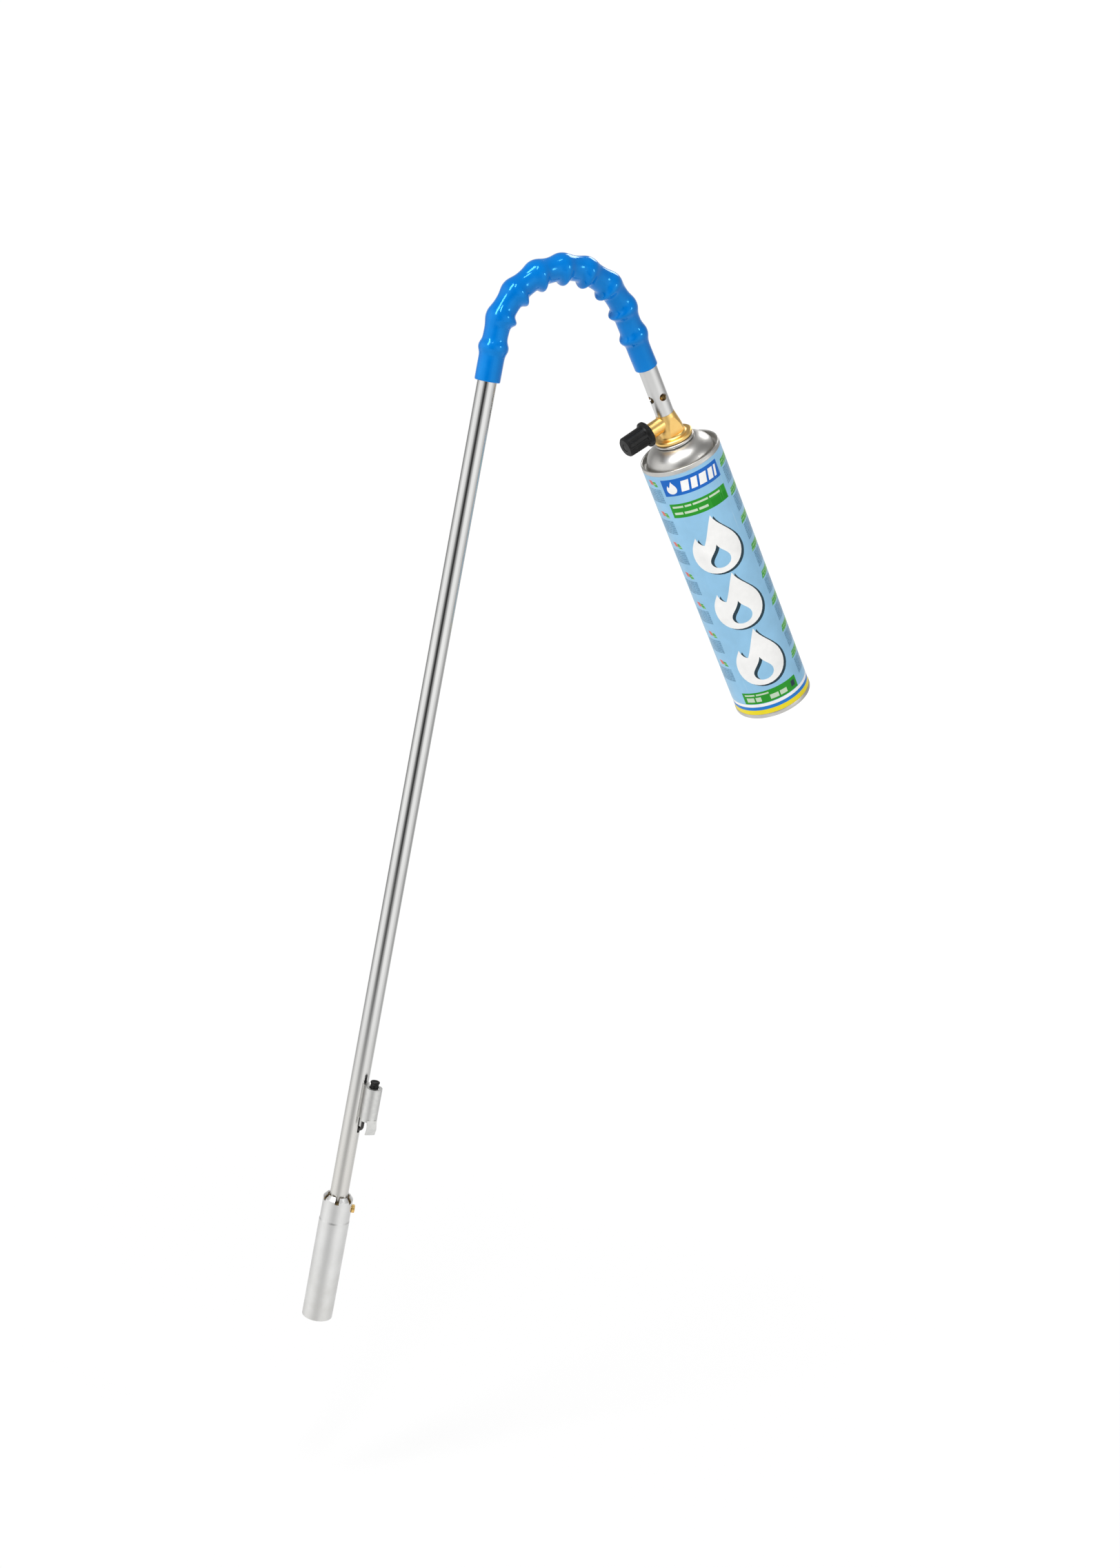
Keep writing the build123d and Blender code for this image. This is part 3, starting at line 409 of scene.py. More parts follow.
# ------------------------------------------------------------------ plastic, rubber and ceramic finishes
def blue_vinyl():
    """Dip-moulded soft vinyl: glossy, a little uneven, with faint rub marks where a hand holds it."""
    made_of = Surface("blue_vinyl", ior=1.7, Specular_Tint=(0.16, 0.75, 1.0, 1.0))
    flow = made_of.noise(38.0, 3.0, 0.5)
    rub = made_of.noise(150.0, 5.0, 0.65)
    fine = made_of.noise(1300.0, 2.0, 0.5)
    handled = made_of.maths("MULTIPLY", made_of.span(flow, 0.42, 0.66), made_of.span(rub, 0.40, 0.70))
    shade = made_of.mix(made_of.span(flow, 0.3, 0.7), (0.0, 0.152, 0.535), (0.0, 0.170, 0.585))
    made_of.colour(made_of.mix(made_of.maths("MULTIPLY", handled, 0.2), shade, (0.01, 0.25, 0.68)))
    worn = made_of.maths("MULTIPLY", handled, 0.05)
    made_of.rough(made_of.maths("ADD", made_of.span(rub, 0.3, 0.7, 0.10, 0.14), worn))
    made_of.bump((flow, 0.10, 0.20), (rub, 0.02, 0.03), (fine, 0.01, 0.01))
    return made_of.material


def black_plastic():
    """Moulded black plastic with a fine spark-eroded grain, and paler where fingers rub it."""
    made_of = Surface("black_plastic", Specular_IOR_Level=0.22)
    grain = made_of.noise(3800.0, 3.0, 0.6)
    rub = made_of.noise(260.0, 4.0, 0.6)
    shade = made_of.mix(made_of.span(rub, 0.45, 0.75), (0.006, 0.006, 0.006), (0.015, 0.015, 0.015))
    made_of.colour(made_of.mix(made_of.span(grain, 0.6, 0.8, 0.0, 0.3), shade, (0.025, 0.025, 0.025)))
    rough = made_of.span(rub, 0.3, 0.7, 0.42, 0.30)
    made_of.rough(made_of.maths("ADD", rough, made_of.span(grain, 0.3, 0.8, 0.0, 0.1)))
    made_of.bump((grain, 0.25, 0.05), (rub, 0.08, 0.12))
    return made_of.material


def matte(name, colour, paler, roughness, grain_size, depth, **sockets):
    """Rubber, silicone or glazed ceramic: a mottled colour with its own grain."""
    made_of = Surface(name, **sockets)
    mottle = made_of.noise(240.0, 4.0, 0.6)
    grain = made_of.noise(grain_size, 3.0, 0.6)
    made_of.colour(made_of.mix(made_of.span(mottle, 0.35, 0.7), colour, paler))
    made_of.rough(made_of.span(mottle, 0.3, 0.7, roughness - 0.05, roughness + 0.10))
    made_of.bump((grain, 0.2, depth), (mottle, 0.1, depth * 4))
    return made_of.material


# ------------------------------------------------------------------ printed can finishes
def cartridge_place(surface):
    """The distance along the cartridge's axis and the arc round it, both in millimetres, as node outputs."""
    offset = surface.nodes.new("ShaderNodeVectorMath")
    offset.operation = "SUBTRACT"
    surface.links.new(surface.place, offset.inputs[0])
    offset.inputs[1].default_value = LEG_START

    def part_along(direction):
        dot = surface.nodes.new("ShaderNodeVectorMath")
        dot.operation = "DOT_PRODUCT"
        surface.links.new(offset.outputs[0], dot.inputs[0])
        dot.inputs[1].default_value = direction / MM
        return dot.outputs["Value"]

    distance = part_along(LEG)
    angle = surface.maths("ARCTAN2", part_along(ACROSS), part_along(TO_LANCE))
    return distance, surface.maths("MULTIPLY", angle, CAN_R)


def axis_distance(surface):
    """How far a point is from the cartridge's axis, in millimetres."""
    offset = surface.nodes.new("ShaderNodeVectorMath")
    offset.operation = "SUBTRACT"
    surface.links.new(surface.place, offset.inputs[0])
    offset.inputs[1].default_value = LEG_START
    cross = surface.nodes.new("ShaderNodeVectorMath")
    cross.operation = "CROSS_PRODUCT"
    surface.links.new(offset.outputs[0], cross.inputs[0])
    cross.inputs[1].default_value = LEG / MM
    length = surface.nodes.new("ShaderNodeVectorMath")
    length.operation = "LENGTH"
    surface.links.new(cross.outputs[0], length.inputs[0])
    return length.outputs["Value"]


def printed(name, colour, line_colour=None, line_pitch=1.9):
    """Lacquered print on tinplate. With a line colour, thin broken bars fill it, like print seen from afar."""
    made_of = Surface(name, Specular_IOR_Level=0.22, Coat_Weight=0.1)
    distance, across = cartridge_place(made_of)
    cloud = made_of.noise(60.0, 4.0, 0.6)
    fine = made_of.noise(2600.0, 2.0, 0.5)
    darker = tuple(part * 0.88 for part in colour)
    shade = made_of.mix(made_of.span(cloud, 0.3, 0.75), colour, darker)
    paler = tuple(min(1, part * 1.25) for part in colour)
    shade = made_of.mix(made_of.span(fine, 0.60, 0.75, 0.0, 0.18), shade, paler)
    if line_colour:
        row = made_of.maths("FRACT", made_of.maths("DIVIDE", distance, line_pitch))
        below, above = made_of.maths("GREATER_THAN", row, 0.30), made_of.maths("LESS_THAN", row, 0.78)
        rank = made_of.maths("FLOOR", made_of.maths("DIVIDE", distance, line_pitch))
        word = made_of.nodes.new("ShaderNodeTexNoise")
        word.noise_dimensions = "1D"
        shifted = made_of.maths("MULTIPLY", rank, 7.3)
        made_of.links.new(made_of.maths("MULTIPLY_ADD", across, 0.55, shifted), word.inputs["W"])
        word.inputs["Scale"].default_value = 1.0
        word.inputs["Detail"].default_value = 0.0
        bars = made_of.maths("MULTIPLY", below, above)
        bars = made_of.maths("MULTIPLY", bars, made_of.maths("GREATER_THAN", word.outputs["Fac"], 0.42))
        shade = made_of.mix(made_of.maths("MULTIPLY", bars, 0.8), shade, line_colour)
    worn = scuffs(made_of, 420.0, 0.35, LEG, 0.04)
    upper = made_of.span(distance, PRINT_TOP + 1.2, PRINT_TOP)
    edge = made_of.maths("MAXIMUM", upper, made_of.span(distance, PRINT_FOOT - 0.5, PRINT_FOOT))
    chipped = made_of.maths("MULTIPLY", edge, made_of.span(made_of.noise(700.0, 3.0, 0.6), 0.50, 0.58))
    shade = made_of.mix(made_of.maths("MULTIPLY", worn, 0.22), shade, (0.80, 0.82, 0.84))
    made_of.colour(made_of.mix(made_of.maths("MULTIPLY", chipped, 0.5), shade, (0.50, 0.49, 0.47)))
    rough = made_of.span(cloud, 0.3, 0.7, 0.28, 0.38)
    made_of.rough(made_of.maths("ADD", rough, made_of.maths("MULTIPLY", worn, 0.2)))
    made_of.bump((fine, 0.05, 0.02), (cloud, 0.06, 0.4), (worn, 0.15, 0.02))
    return made_of.material


# ------------------------------------------------------------------ grip sleeve
SLEEVE_START = -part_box("grip_sleeve")[0].z / MM
SLEEVE_END = 49.0
SLEEVE_BORE = 7.56
WALL_R = 9.45
CUFF_R = 9.85
CUFF_FROM, CUFF_TO = -9.0, 176.0
CUFF_EDGE = 1.1
CUFF_EASE = 1.6
# Where each rib stands outside and inside the bend, and how much it rises there.
RIBS = (
    (-6.5, -6.5, 2.0, 2.0), (15.2, 16.0, 2.15, 3.3), (37.2, 36.6, 2.2, 3.6), (60.0, 58.2, 2.2, 3.7),
    (81.4, 81.0, 2.2, 3.7), (103.4, 103.2, 2.2, 3.7), (126.8, 127.2, 2.2, 3.7), (149.6, 152.0, 2.2, 3.5),
    (173.2, 174.6, 2.1, 2.6),
)
# Half widths: the first rib is even all round, and the others narrow towards the inside of the bend.
EVEN_RIB_WIDTH, RIB_WIDTH, RIB_NARROWING = 4.3, 6.4, 3.0
RIB_SQUARENESS = 2.3
# How far the sleeve's outside lies outward of the tube's centre line, by distance past the start of the bend.
DRIFT = (
    (8, 0.0), (28, 0.6), (58, 0.6), (76, 0.0), (94, -0.2), (112, -1.1), (150, -1.2), (183, -0.9), (202, -0.6),
)


def drift(distance):
    """The outward shift of the sleeve at a distance, eased between the places in DRIFT."""
    if distance <= DRIFT[0][0]:
        return DRIFT[0][1]
    for (before, low), (after, high) in zip(DRIFT, DRIFT[1:]):
        if distance <= after:
            share = (distance - before) / (after - before)
            return low + (high - low) * share * share * (3 - 2 * share)
    return DRIFT[-1][1]


def sleeve_radius(distance, angle):
    """The vinyl's outer radius: ribs broad and low outside the bend, narrow and tall inside it."""
    start = 1 / (1 + math.exp((distance - CUFF_FROM) / CUFF_EASE))
    finish = 1 / (1 + math.exp((CUFF_TO - distance) / CUFF_EASE))
    radius = WALL_R + (CUFF_R - WALL_R) * start - (CUFF_R - WALL_R) * 0.5 * finish
    inner = (1 - math.cos(angle)) / 2
    for outer_place, inner_place, outer_rise, inner_rise in RIBS:
        offset = distance - outer_place - (inner_place - outer_place) * inner
        if abs(offset) > 16:
            continue
        even = outer_place < 0
        height = outer_rise + (inner_rise - outer_rise) * inner**1.5
        width = EVEN_RIB_WIDTH if even else RIB_WIDTH - RIB_NARROWING * inner
        radius += height * math.exp(-(abs(offset / width) ** RIB_SQUARENESS))
    centre, _, outward = grip_frame(distance)
    spot = centre / MM / 13 + (outward * math.cos(angle) + ACROSS * math.sin(angle)) * 0.8
    return radius + 0.09 * noise.noise(spot)


def vinyl_sleeve(material):
    bm = bmesh.new()
    first, last = -SLEEVE_START, BEND_LENGTH + SLEEVE_END
    pitch, around = 0.7, 112
    count = round((last - first) / pitch)
    rings = []

    def ring(distance, radius_at, shift=0.0):
        centre, along, outward = grip_frame(distance)
        centre = centre + outward * shift * MM
        sideways = along.cross(outward)
        corners = []
        for step in range(around):
            angle = 2 * math.pi * step / around
            direction = outward * math.cos(angle) + sideways * math.sin(angle)
            corners.append(bm.verts.new(centre + direction * radius_at(angle) * MM))
        rings.append(corners)

    def edge_drop(distance):
        """How much the rounded edge of a cuff takes off the radius."""
        inward = min(distance - first, last - distance)
        if inward >= CUFF_EDGE:
            return 0.0
        return CUFF_EDGE * (1 - math.sqrt(1 - (1 - inward / CUFF_EDGE) ** 2))

    edges = [CUFF_EDGE * (1 - math.cos(math.pi / 2 * step / 5)) for step in range(5)]
    places = [first + edge for edge in edges]
    places += [first + CUFF_EDGE + (last - first - 2 * CUFF_EDGE) * step / count for step in range(count + 1)]
    places += [last - edge for edge in reversed(edges)]
    for distance in places:
        drop = edge_drop(distance) * 0.75
        ring(distance, lambda angle: sleeve_radius(distance, angle) - drop, drift(distance))
    for step in range(count // 4, -1, -1):
        distance = first + (last - first) * step / (count // 4)
        ring(distance, lambda angle: SLEEVE_BORE)
    for corners, after in zip(rings, rings[1:] + rings[:1]):
        for step in range(around):
            turn = (step + 1) % around
            bm.faces.new((corners[step], corners[turn], after[turn], after[step]))
    return made("grip_sleeve_vinyl", bm, material, sharp=50.0)


# ------------------------------------------------------------------ button spring
SPRING_WIRE_R = 0.35
SPRING_TURNS = 3.57


def spring(material):
    """The button's return spring, wound from round wire between the two ends of its CAD solid."""
    low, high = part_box("button_spring")
    middle = (low + high) / 2
    coil_r = (high.x - low.x) / 2 - SPRING_WIRE_R * MM
    start = Vector((middle.x, middle.y, low.z + SPRING_WIRE_R * MM))
    rise = high.z - low.z - 2 * SPRING_WIRE_R * MM
    steps, around = 160, 10
    bm = bmesh.new()
    rings = []
    for step in range(steps + 1):
        turn = 2 * math.pi * SPRING_TURNS * step / steps
        outward = Vector((math.cos(turn), math.sin(turn), 0))
        centre = start + outward * coil_r + Vector((0, 0, rise * step / steps))
        ring = []
        for corner in range(around):
            angle = 2 * math.pi * corner / around
            offset = outward * math.cos(angle) + Vector((0, 0, math.sin(angle)))
            ring.append(bm.verts.new(centre + offset * SPRING_WIRE_R * MM))
        rings.append(ring)
    for ring, after in zip(rings, rings[1:]):
        for corner in range(around):
            following = (corner + 1) % around
            bm.faces.new((ring[corner], ring[following], after[following], after[corner]))
    bm.faces.new(rings[0])
    bm.faces.new(rings[-1])
    return made("button_spring_wire", bm, material)


# ------------------------------------------------------------------ cartridge shells
SEAM_RISE = 3.6
NECK_R = 14.9
NECK_TOP = CUP_TOP + 2.8


def dome_shell(material):
    """The cartridge's shoulder: a rolled seam, a groove inside it and a dome up to the valve cup."""
    rim = PRINT_TOP - SEAM_RISE
    groove = rim + 4.6
    skirt = PRINT_TOP - 0.05
    outline = [(CAN_R, skirt), (CAN_R, skirt - 0.8), (CAN_R - 0.12, skirt - 1.1), (CAN_R - 0.12, rim + 0.9)]
    outline += arc((CAN_R - 0.12, rim + 0.8), (CAN_R - 0.85, rim), (CAN_R - 1.55, rim + 0.7), 10)
    outline += arc((CAN_R - 1.9, groove), (CAN_R - 3.0, groove + 0.9), (CAN_R - 4.1, groove), 10)
    outline += arc((CAN_R - 4.2, groove - 0.3), (22.6, NECK_TOP + 3.3), (NECK_R, NECK_TOP), 28)
    outline += arc((NECK_R, NECK_TOP + 0.6), (22.2, NECK_TOP + 3.9), (CAN_R - 4.7, groove), 20)
    outline += arc((CAN_R - 4.7, groove + 0.1), (CAN_R - 3.0, groove + 1.6), (CAN_R - 1.3, groove), 8)
    outline += [(CAN_R - 1.1, skirt)]
    bm = bmesh.new()
    turned(bm, outline, LEG_START, LEG, TO_LANCE, 144)
    return made("cartridge_shoulder", bm, material, sharp=40.0)


def cup_shell(material):
    """The valve cup: its rolled curl, the well and the nipple that screws into the valve."""
    floor = CUP_TOP + 6.0
    thread, bore, housing = 5.55, 2.3, 4.2
    top, stem_room, foot = NIPPLE_TOP, NIPPLE_TOP + 14.7, NIPPLE_TOP + 23.2
    outline = [(CUP_R - 0.5, CUP_TOP + 2.4)]
    outline += arc((CUP_R, CUP_TOP + 1.7), (CUP_R - 0.35, CUP_TOP + 0.3), (CUP_R - 1.3, CUP_TOP), 10)
    outline += arc((CUP_R - 1.5, CUP_TOP), (CUP_R - 2.3, CUP_TOP + 0.3), (CUP_R - 2.6, CUP_TOP + 1.2), 6)
    outline += arc((CUP_R - 2.9, floor - 0.9), (CUP_R - 3.2, floor - 0.2), (CUP_R - 3.9, floor), 6)
    outline += [(8.4, floor), (7.3, floor - 0.4), (6.2, floor - 1.6), (thread, floor - 3.0)]
    outline += [(thread, top + 0.6), (thread - 0.2, top + 0.15), (thread - 0.6, top), (bore, top)]
    outline += [(bore, stem_room), (housing, stem_room), (housing, foot), (housing + 0.7, foot)]
    outline += [(housing + 0.7, floor + 1.2), (8.0, floor + 0.7), (CUP_R - 2.2, floor + 0.7)]
    outline += [(CUP_R - 1.9, CUP_TOP + 2.4)]
    bm = bmesh.new()
    turned(bm, outline, LEG_START, LEG, TO_LANCE, 112)
    return made("cartridge_cup", bm, material, sharp=40.0)


def base_shell(material):
    """The cartridge's foot: the lower seam and the inward dome of the base."""
    heel, heel_r, cap = CAN_FOOT - 5.0, CAN_R - 2.3, 7.0
    sheet = 0.6
    top = PRINT_FOOT + 0.05
    outline = arc((0, heel - cap), (heel_r * 0.55, heel - cap * 0.70), (heel_r, heel), 26)
    outline += [(heel_r + 0.15, heel + 1.2), (CAN_R - 1.8, CAN_FOOT - 0.9)]
    outline += arc((CAN_R - 1.6, CAN_FOOT - 0.5), (CAN_R - 0.7, CAN_FOOT), (CAN_R + 0.15, CAN_FOOT - 0.6), 8)
    outline += [(CAN_R + 0.3, CAN_FOOT - 1.1), (CAN_R + 0.3, top + 0.5), (CAN_R + 0.1, top), (CAN_R - 0.9, top)]
    inner_edge, inner_middle = (heel_r - 0.2, heel + sheet), (heel_r * 0.55, heel - cap * 0.70 + sheet)
    outline += arc(inner_edge, inner_middle, (0, heel - cap + sheet), 20)
    bm = bmesh.new()
    turned(bm, outline, LEG_START, LEG, TO_LANCE, 144)
    return made("cartridge_foot", bm, material, sharp=40.0)


# ------------------------------------------------------------------ cartridge print
# The print is laid out flat: across is the arc from the middle of the front, down is the distance along the
# axis, which is then scaled so that the drawing's foot falls on the can's.
FRONT = math.radians(-64.0)
HALF_TURN = math.pi * CAN_R
LABEL_FOOT = PRINT_TOP + 230.2
LABEL_SCALE = (PRINT_FOOT - PRINT_TOP) / (LABEL_FOOT - PRINT_TOP)
SHADOW = Vector((2.3, 1.7))


def rectangle(left, top, right, foot):
    return [Vector(corner) for corner in ((left, top), (right, top), (right, foot), (left, foot))]


def slanted(left, top, right, foot, slant):
    """A bar whose two ends lean by slant millimetres."""
    corners = ((left + slant, top), (right + slant, top), (right, foot), (left, foot))
    return [Vector(corner) for corner in corners]


def placed(outline, left, top, width, height):
    """A unit outline, one wide about zero and one tall, put in place at its real size."""
    return [Vector((left + (0.5 + point.x) * width, top + point.y * height)) for point in outline]


def moved(outline, shift):
    return [point + shift for point in outline]


FLAME = bezier(
    (0.10, 0.0),
    ((0.16, 0.22), (0.50, 0.38), (0.50, 0.66)),
    ((0.50, 0.86), (0.28, 1.0), (0.0, 1.0)),
    ((-0.28, 1.0), (-0.50, 0.86), (-0.50, 0.64)),
    ((-0.50, 0.50), (-0.42, 0.40), (-0.33, 0.30)),
    ((-0.32, 0.38), (-0.27, 0.44), (-0.20, 0.46)),
    ((-0.10, 0.34), (-0.02, 0.16), (0.10, 0.0)),
)
DROP = bezier(
    (0.04, 0.0),
    ((0.12, 0.28), (0.50, 0.42), (0.50, 0.68)),
    ((0.50, 0.88), (0.26, 1.0), (0.0, 1.0)),
    ((-0.26, 1.0), (-0.50, 0.88), (-0.50, 0.68)),
    ((-0.50, 0.46), (-0.10, 0.32), (0.04, 0.0)),
)


def label_areas():
    """What is printed, from the lowest layer up: a finish, and the outlines that a point has to be in."""
    areas = []

    def add(finish, *outlines):
        areas.append((finish, outlines))

    for left, right in ((-HALF_TURN, -HALF_TURN + 1.6), (HALF_TURN - 1.6, HALF_TURN)):
        add("bare", rectangle(left, PRINT_TOP, right, LABEL_FOOT))
    foot = LABEL_FOOT
    add("white", rectangle(-HALF_TURN, foot - 10.4, HALF_TURN, foot - 7.6))
    add("azure", rectangle(-HALF_TURN, foot - 7.6, HALF_TURN, foot - 4.4))
    add("yellow", rectangle(-HALF_TURN, foot - 4.4, HALF_TURN, foot))

    # Front panels
    add("blue", rectangle(-25.8, 132.5, 25.8, 147.2))
    add("white", placed(FLAME, -22.4, 134.4, 8.6, 11.0))
    for left, width in ((-10.6, 6.4), (-2.2, 5.2), (5.0, 6.4), (13.4, 4.6), (19.6, 2.2)):
        add("white", slanted(left, 135.6, left + width, 144.6, 1.8))
    add("green", rectangle(-25.8, 154.3, 25.4, 166.8))
    add("deep_green", rectangle(8.6, 159.9, 25.4, 166.8))
    for top, thick, lengths in ((156.4, 1.7, (9.5, 5.5, 13.0, 10.5)), (161.9, 2.1, (7.5, 11.0, 8.0))):
        left = -23.6
        for length in lengths:
            add("pale", rectangle(left, top, left + length, top + thick))
            left += length + 1.3
    for top, height in ((171.5, 51.0), (225.0, 51.0), (279.0, 53.0)):
        outer = placed(FLAME, -21.6, top, 41.6, height)
        inner = placed(DROP, -9.2, top + height * 0.50, 17.0, height * 0.41)
        add("shadow", moved(outer, SHADOW))
        add("white", outer)
        add("shadow", inner)
        add("base", inner, moved(inner, SHADOW))
    add("green", rectangle(-27.4, 337.4, 24.0, 348.6))
    for left, top, right, foot in ((-25.2, 339.2, -16.0, 340.7), (-14.6, 339.2, -3.5, 340.7)):
        add("pale", rectangle(left, top, right, foot))
    for left, right in ((-24.4, -17.4), (-16.0, -11.2), (-3.2, 4.4), (5.8, 12.4)):
        add("pale", rectangle(left, 342.4, right, 346.6))
    add("shadow", slanted(17.2, 340.4, 21.4, 345.6, 0.6))

    # Columns of tags and small-print panels, on the right of the front and round the back
    for left, right in ((29.2, 49.6), (54.0, 75.6), (80.0, 100.0), (-99.0, -77.0), (-72.6, -51.0)):
        for index in range(8):
            top = 136.8 + 26.1 * index
            add("tag", slanted(left, top, right, top + 5.8, 2.2))
            add("panel", rectangle(left + 1.8, top + 7.4, right, top + 21.6))
    # Column on the left of the front
    for index in range(7):
        top = 133.4 + 28.7 * index
        add("panel", rectangle(-46.4, top + 7.6, -28.8, top + 20.4))
        add("red", slanted(-38.8, top, -34.4, top + 4.0, -1.6))
        add("tag", slanted(-34.2, top + 0.8, -30.4, top + 5.4, -1.8))
    return areas


def inside(points, outline):
    """Which of the points, as an array of pairs, are inside the outline."""
    x, y = points[:, 0], points[:, 1]
    within = np.zeros(len(points), bool)
    for here, there in zip(outline, outline[1:] + outline[:1]):
        crosses = (here.y > y) != (there.y > y)
        if not crosses.any():
            continue
        reach_x = here.x + (y - here.y) * (there.x - here.x) / ((there.y - here.y) or 1.0)
        within ^= crosses & (x < reach_x)
    return within


def printed_can(finishes):
    """The cartridge's tube: its outside is cut along every printed outline, each area in its own finish."""
    names = list(finishes)
    areas = label_areas()
    corners, edges = [], []

    def draw(points):
        start = len(corners)
        corners.extend(points)
        edges.extend((start + index, start + (index + 1) % len(points)) for index in range(len(points)))

    draw(rectangle(-HALF_TURN, PRINT_TOP, HALF_TURN, LABEL_FOOT))
    strips = 120
    for strip in range(1, strips):
        across = -HALF_TURN + 2 * HALF_TURN * strip / strips
        draw([Vector((across, PRINT_TOP)), Vector((across, LABEL_FOOT))])
    for finish, outlines in areas:
        for outline in outlines:
            draw(outline)
    flat, _, faces, _, _, _ = delaunay_2d_cdt(corners, edges, [], 0, 1e-4)
    points = np.array([tuple(point) for point in flat])
    middles = points[np.array(faces)].mean(axis=1)
    chosen = np.full(len(faces), names.index("base"))
    for finish, outlines in areas:
        within = np.ones(len(faces), bool)
        for outline in outlines:
            within &= inside(middles, outline)
        chosen[within] = names.index(finish)

    bm = bmesh.new()
    verts = []
    for across, down in points:
        angle = FRONT - across / CAN_R
        outward = TO_LANCE * math.cos(angle) + ACROSS * math.sin(angle)
        distance = PRINT_TOP + (down - PRINT_TOP) * LABEL_SCALE
        verts.append(bm.verts.new(LEG_START + (LEG * distance + outward * CAN_R) * MM))
    for corner_ids, finish in zip(faces, chosen):
        face = bm.faces.new([verts[index] for index in corner_ids])
        face.material_index = int(finish)
    bmesh.ops.remove_doubles(bm, verts=bm.verts, dist=2e-6)
    rims = [edge for edge in bm.edges if edge.is_boundary]
    grown = bmesh.ops.extrude_edge_only(bm, edges=rims)["geom"]
    for vert in (item for item in grown if isinstance(item, bmesh.types.BMVert)):
        offset = vert.co - LEG_START
        outward = (offset - LEG * offset.dot(LEG)).normalized()
        vert.co -= outward * 0.6 * MM
    inner = [item for item in grown if isinstance(item, bmesh.types.BMEdge)]
    walls = bmesh.ops.bridge_loops(bm, edges=inner)["faces"]
    rim_faces = [item for item in grown if isinstance(item, bmesh.types.BMFace)]
    for face in walls + rim_faces:
        face.material_index = names.index("bare")
    can = made("cartridge_tube", bm, *finishes.values())

    mesh = can.data
    normals = []
    for polygon in mesh.polygons:
        for index in polygon.vertices:
            offset = mesh.vertices[index].co - LEG_START
            outward = (offset - LEG * offset.dot(LEG)).normalized()
            facing = polygon.normal.dot(outward)
            radial = outward if facing > 0.9 else -outward if facing < -0.9 else Vector((0, 0, 0))
            normals.append(radial)
    mesh.normals_split_custom_set(normals)
    return can


# ------------------------------------------------------------------ camera, floor and light
VIEW_AZIMUTH = math.radians(-34.54)
VIEW_ELEVATION = math.radians(12.86)
VIEW_ROLL = math.radians(11.19)
VIEW_DISTANCE = 1.832
VIEW_TARGET = Vector((0.1582, 0.0322, -0.3513))
LENS = 50.50


def camera():
    """A camera on the photograph's side of the torch, rolled so that the torch leans as it does there."""
    back = Vector((math.sin(VIEW_AZIMUTH), -math.cos(VIEW_AZIMUTH), 0)) * math.cos(VIEW_ELEVATION)
    back.z = math.sin(VIEW_ELEVATION)
    right = (-back).cross(Vector((0, 0, 1))).normalized()
    up = right.cross(-back)
    across = right * math.cos(VIEW_ROLL) + up * math.sin(VIEW_ROLL)
    upward = up * math.cos(VIEW_ROLL) - right * math.sin(VIEW_ROLL)
    data = bpy.data.cameras.new("camera")
    data.lens = LENS
    data.sensor_width = 36.0
    view = bpy.data.objects.new("camera", data)
    bpy.context.scene.collection.objects.link(view)
    turn = Matrix((across, upward, back)).transposed().to_4x4()
    view.matrix_world = Matrix.Translation(VIEW_TARGET + back * VIEW_DISTANCE) @ turn
    bpy.context.scene.camera = view
    return view


def studio_floor():
    """A plain pale floor below the burner that fades into the background's white with distance."""
    bm = bmesh.new()
    bmesh.ops.create_circle(bm, cap_ends=True, segments=96, radius=14.0)
    bmesh.ops.translate(bm, verts=bm.verts, vec=(0.16, 0, cad_low.z - 0.16))
    finish = Surface("floor_paper", roughness=0.85)
    speck = finish.noise(60.0, 3.0, 0.5)
    finish.colour(finish.mix(speck, (0.90, 0.90, 0.90), (0.93, 0.93, 0.93)))
    finish.bump((speck, 0.05, 0.5))
    distance = finish.nodes.new("ShaderNodeVectorMath")
    distance.operation = "LENGTH"
    finish.links.new(finish.place, distance.inputs[0])
    glow = finish.nodes.new("ShaderNodeEmission")
    glow.inputs["Color"].default_value = (1, 1, 1, 1)
    glow.inputs["Strength"].default_value = 1.08
    blend = finish.nodes.new("ShaderNodeMixShader")
    finish.links.new(finish.span(distance.outputs["Value"], 0.5, 2.4, 0.76, 1.0, smooth=True), blend.inputs[0])
    finish.links.new(finish.shader.outputs[0], blend.inputs[1])
    finish.links.new(glow.outputs[0], blend.inputs[2])
    finish.links.new(blend.outputs[0], finish.nodes["Material Output"].inputs["Surface"])
    floor = made("floor", bm, finish.material)
    floor.visible_glossy = False
    return floor


